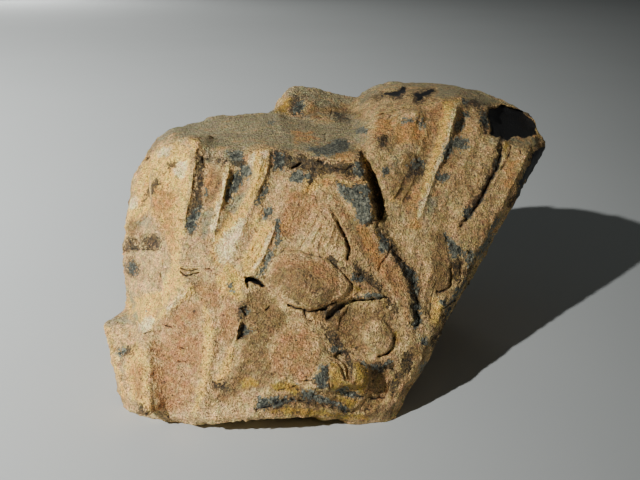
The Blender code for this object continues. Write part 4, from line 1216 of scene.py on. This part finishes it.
    # Grime, which also paints shade over shaded recesses and faces, and bare mineral, each grain by
    # grain, with bits of crust left between
    grime_and_shade_tone = stain(tree, colours.grime_and_shade, colours.umber, cells["Color"], 0.0, 0.4, 0.9, 0.6)
    skin = stain(tree, skin, grime_and_shade_tone, fields["grime_and_shade"], wander["grainy"], 1.2, 1.36, 0.9)
    tone = grain["sugar"]
    for texture, share in ((cells["Color"], 0.5), (fields["grime_and_shade"], -0.14)):
        tone = add(tree, "ShaderNodeMath", {0: texture, 1: share, 2: tone},
                   operation="MULTIPLY_ADD").outputs[0]
    stone = add(tree, "ShaderNodeValToRGB", {"Fac": tone})
    stops = stone.color_ramp.elements
    stops[0].position, stops[0].color = 0.52, colours.mineral_dark
    stops[1].position, stops[1].color = 0.98, colours.mineral_pale
    stops.new(0.74).color = colours.mineral
    bare = add(tree, "ShaderNodeMath", {0: fields["mineral"], 1: 1.2, 2: wander["grainy"]},
               operation="MULTIPLY_ADD").outputs[0]
    bare = add(tree, "ShaderNodeMapRange", {"Value": bare, "From Min": 1.3, "From Max": 1.44},
               interpolation_type="SMOOTHSTEP").outputs["Result"]
    colour = add(tree, "ShaderNodeMix", {0: bare, 6: skin, 7: stone.outputs["Color"]},
                 data_type="RGBA").outputs[2]

    # A black break, ragged by grains, which also paints shade on a shaded face and in a deep gap,
    # and painted shade in hollows and cracks
    black_break_and_shade_reach = add(tree, "ShaderNodeMath", {0: wander["grainy"], 1: 0.3, 2: -0.2},
                  operation="MULTIPLY_ADD").outputs[0]
    black_break_and_shade_reach = add(tree, "ShaderNodeMath", {0: black_break_and_shade_reach, 1: fields["pitch"]},
                  operation="ADD").outputs[0]
    black_break_and_shade = add(tree, "ShaderNodeMapRange", {"Value": black_break_and_shade_reach, "From Min": 0.44, "From Max": 0.54},
                interpolation_type="SMOOTHSTEP").outputs["Result"]
    colour = add(tree, "ShaderNodeMix", {0: black_break_and_shade, 6: colour, 7: colours.pitch},
                 data_type="RGBA").outputs[2]
    # Painted shade: hollows and cracks darkened with the crevice colour
    for field, low, high, share in (("cavity_shade", 0.1, 1.0, 0.6), ("crack_shade", 0.3, 0.95, 0.8)):
        colour = stain(tree, colour, colours.crevice_shade, fields[field], 0.0, low, high, share)
    tree.links.new(colour, shader.inputs["Base Color"])

    dull = add(tree, "ShaderNodeMix", {0: bare, 2: CRUST_DULL, 3: MINERAL_DULL}).outputs[0]
    dull = add(tree, "ShaderNodeMix", {0: black_break_and_shade, 2: dull, 3: BREAK_DULL}).outputs[0]
    tree.links.new(dull, shader.inputs["Roughness"])

    # Fine relief: sugary grains, crystal streaks and grit, and less on a fresh break
    fine = grain["sugar"]
    for texture, share in ((grain["streak"], 0.8), (grain["grit"], 0.9),
                           (cells["Distance"], 0.5)):
        fine = add(tree, "ShaderNodeMath", {0: texture, 1: share, 2: fine},
                   operation="MULTIPLY_ADD").outputs[0]
    sound = add(tree, "ShaderNodeMath", {0: 1.0, 1: black_break_and_shade}, operation="SUBTRACT").outputs[0]
    sound = add(tree, "ShaderNodeMath", {0: sound, 1: BREAK_RELIEF},
                operation="MAXIMUM").outputs[0]
    bump = add(tree, "ShaderNodeBump",
               {"Height": fine, "Distance": FINE_RELIEF * MM, "Strength": sound})
    tree.links.new(bump.outputs["Normal"], shader.inputs["Normal"])
    return material


def pale_card():
    """Matt card: a pale, even sheet that takes a soft shadow and has no shine."""
    material = bpy.data.materials.new("pale_card")
    material.use_nodes = True
    tree = material.node_tree
    shader = tree.nodes["Principled BSDF"]
    shader.inputs["Roughness"].default_value = CARD_DULL
    shader.inputs["Specular IOR Level"].default_value = CARD_SHINE
    place = add(tree, "ShaderNodeTexCoord").outputs["Object"]
    cloud = add(tree, "ShaderNodeTexNoise", {"Vector": place, "Scale": 6.0, "Detail": 2.0})
    tone = add(tree, "ShaderNodeMix", {0: cloud.outputs["Fac"], 6: linear(CARD[0]),
                                       7: linear(CARD[1])}, data_type="RGBA")
    tree.links.new(tone.outputs[2], shader.inputs["Base Color"])
    return material


# --- Stage ----------------------------------------------------------------------------------
def floor(radius):
    """A plain pale sheet to stand on."""
    mesh = bpy.data.meshes.new("floor")
    sheet = bmesh.new()
    bmesh.ops.create_circle(sheet, cap_ends=True, segments=64, radius=radius)
    sheet.to_mesh(mesh)
    sheet.free()
    made = bpy.data.objects.new("floor", mesh)
    bpy.context.scene.collection.objects.link(made)
    mesh.materials.append(pale_card())


def lamp(name, kind, travel, distance, power, aim, settings):
    """A soft lamp whose light travels along `travel` to the spot LIT, and which is turned
    to a point of its own, `aim`."""
    light = bpy.data.lights.new(name, kind)
    light.energy = power
    for setting, value in settings.items():
        setattr(light, setting, value)
    made = bpy.data.objects.new(name, light)
    made.location = Vector(LIT) * MM - Vector(travel).normalized() * distance
    way = Vector(aim) * MM - made.location
    made.rotation_euler = way.to_track_quat("-Z", "Y").to_euler()
    bpy.context.scene.collection.objects.link(made)


def air():
    """The faint, even light of the room."""
    world = bpy.data.worlds.new("studio")
    world.use_nodes = True
    background = world.node_tree.nodes["Background"]
    background.inputs["Color"].default_value = linear(AIR)
    background.inputs["Strength"].default_value = AIR_LIGHT
    bpy.context.scene.world = world


def camera():
    """Looks down on the front at the angle of EYE's view."""
    data = bpy.data.cameras.new("camera")
    data.sensor_width = SENSOR
    data.lens = FOCAL / VIEW_WIDTH * SENSOR
    data.clip_start = NEAR_CLIP
    made = bpy.data.objects.new("camera", data)
    made.location = Vector(EYE) * MM
    made.rotation_euler = (math.pi / 2 - PITCH, 0.0, 0.0)
    bpy.context.scene.collection.objects.link(made)
    bpy.context.scene.camera = made


# --- Add-on ---------------------------------------------------------------------------------
class EuxeniteSizes(bpy.types.PropertyGroup):
    """Sizes of the surface work, in millimetres."""

    grain: bpy.props.FloatProperty(
        name="Grain", description="Size of the grains that the surface is rebuilt from, in mm",
        default=1.2, min=0.8, max=3.0)
    striation: bpy.props.FloatProperty(
        name="Striation", description="Height of the fine ridges along the crystals, in mm",
        default=0.30, min=0.0, max=2.0)
    chip: bpy.props.FloatProperty(
        name="Chip", description="Height of the small flat faces that the stone breaks in, in mm",
        default=0.30, min=0.0, max=2.0)
    crumb: bpy.props.FloatProperty(
        name="Crumb", description="Height of the crumbly grains of the crust, in mm",
        default=0.16, min=0.0, max=1.0)
    ledge: bpy.props.FloatProperty(
        name="Ledge", description="Height of the crystal steps on the sides and back, in mm",
        default=0.5, min=0.0, max=2.0)


def colour_property(name, description, default):
    """A colour with alpha, whose default is an sRGB hex colour."""
    return bpy.props.FloatVectorProperty(name=name, description=description, subtype="COLOR",
                                         size=4, min=0.0, max=1.0, default=linear(default))


class EuxeniteColours(bpy.types.PropertyGroup):
    """Colours of the crust and of the mineral under it."""

    crust: colour_property("Crust", "Buff crust over most of the lump", "#E6C080")
    crust_deep: colour_property("Deep crust", "Browner patches of the crust", "#BD9A61")
    crust_pale: colour_property("Pale crust", "Pale grains and worn crests", "#F2CB7C")
    orange: colour_property("Orange crust", "Broad warm patches", "#CE9B63")
    olive: colour_property("Olive crust", "Greyer bands along the crystals", "#AA986A")
    cream: colour_property("Cream crust", "Palest crust, on the left", "#FFCC60")
    # Whitest crust, also laid as painted highlight on lit spots
    chalk_and_highlight: colour_property("Chalk", "Whitest worn places", "#FFE4A4")
    salmon: colour_property("Salmon crust", "Pink crust in broken panels", "#B0743D")
    umber: colour_property("Umber crust", "Olive-brown crust, low on the front", "#87693A")
    dust: colour_property("Dust", "Grey-olive dust on the level top", "#A29972")
    ochre: colour_property("Ochre", "Yellow blocks low on the front", "#B28C2C")
    rust: colour_property("Rust", "Orange-red stains", "#D4984E")
    grain_dark: colour_property("Brown grains", "Dark grains in the crust", "#5E4526")
    # Dark brown grime, also laid as painted shade in shaded recesses and faces
    grime_and_shade: colour_property("Grime", "Dark brown between the crumbs", "#1F1B14")
    # Painted shade: the dark laid into cracks, hollows and small pits
    crevice_shade: colour_property("Crevice", "Dirt in cracks and hollows", "#241A10")
    mineral: colour_property("Mineral", "Bare blue-black mineral", "#5C5F50")
    mineral_dark: colour_property("Dark mineral", "Darkest mineral grains", "#282A23")
    mineral_pale: colour_property("Pale mineral", "Glints between the grains", "#9A9880")
    # Black break, also laid as painted shade on a shaded face and in a deep gap
    pitch: colour_property("Fresh break", "Black break, the colour of pitch", "#0B0B0A")


class EUXENITE_OT_lump(bpy.types.Operator):
    """Rebuild and work the specimen's surface, and give it its finish"""

    bl_idname = "euxenite.lump"
    bl_label = "Build Specimen"

    def execute(self, context):
        lump = build_lump(context.scene.euxenite_sizes)
        if not lump.data.polygons:
            raise RuntimeError("the specimen's surface came out empty")
        lump.data.materials.clear()
        lump.data.materials.append(crusted_euxenite(context.scene.euxenite_colours))
        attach(lump, "root")
        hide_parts(SOLID)
        return {"FINISHED"}


class EUXENITE_OT_stage(bpy.types.Operator):
    """Set up the pale floor, the lamps and the camera"""

    bl_idname = "euxenite.stage"
    bl_label = "Build Stage"

    def execute(self, context):
        floor(FLOOR_RADIUS)
        for name, facts in LAMPS.items():
            lamp(name, *facts)
        air()
        camera()
        return {"FINISHED"}


class EUXENITE_PT_panel(bpy.types.Panel):
    """Lists the steps that build the specimen"""

    bl_idname = "EUXENITE_PT_panel"
    bl_label = "Euxenite Specimen"
    bl_space_type = "VIEW_3D"
    bl_region_type = "UI"
    bl_category = "Euxenite"

    def draw(self, context):
        for group in (context.scene.euxenite_sizes, context.scene.euxenite_colours):
            for name in group.bl_rna.properties.keys():
                if name not in ("rna_type", "name"):
                    self.layout.prop(group, name)
        self.layout.operator(EUXENITE_OT_lump.bl_idname)
        self.layout.operator(EUXENITE_OT_stage.bl_idname)


CLASSES = (EuxeniteSizes, EuxeniteColours, EUXENITE_OT_lump, EUXENITE_OT_stage, EUXENITE_PT_panel)


def register():
    for cls in CLASSES:
        bpy.utils.register_class(cls)
    bpy.types.Scene.euxenite_sizes = bpy.props.PointerProperty(type=EuxeniteSizes)
    bpy.types.Scene.euxenite_colours = bpy.props.PointerProperty(type=EuxeniteColours)


def unregister():
    del bpy.types.Scene.euxenite_colours
    del bpy.types.Scene.euxenite_sizes
    for cls in reversed(CLASSES):
        bpy.utils.unregister_class(cls)


def main():
    """Builds the specimen and the stage."""
    register()
    bpy.ops.euxenite.lump()
    bpy.ops.euxenite.stage()


if __name__ == "__main__":
    main()
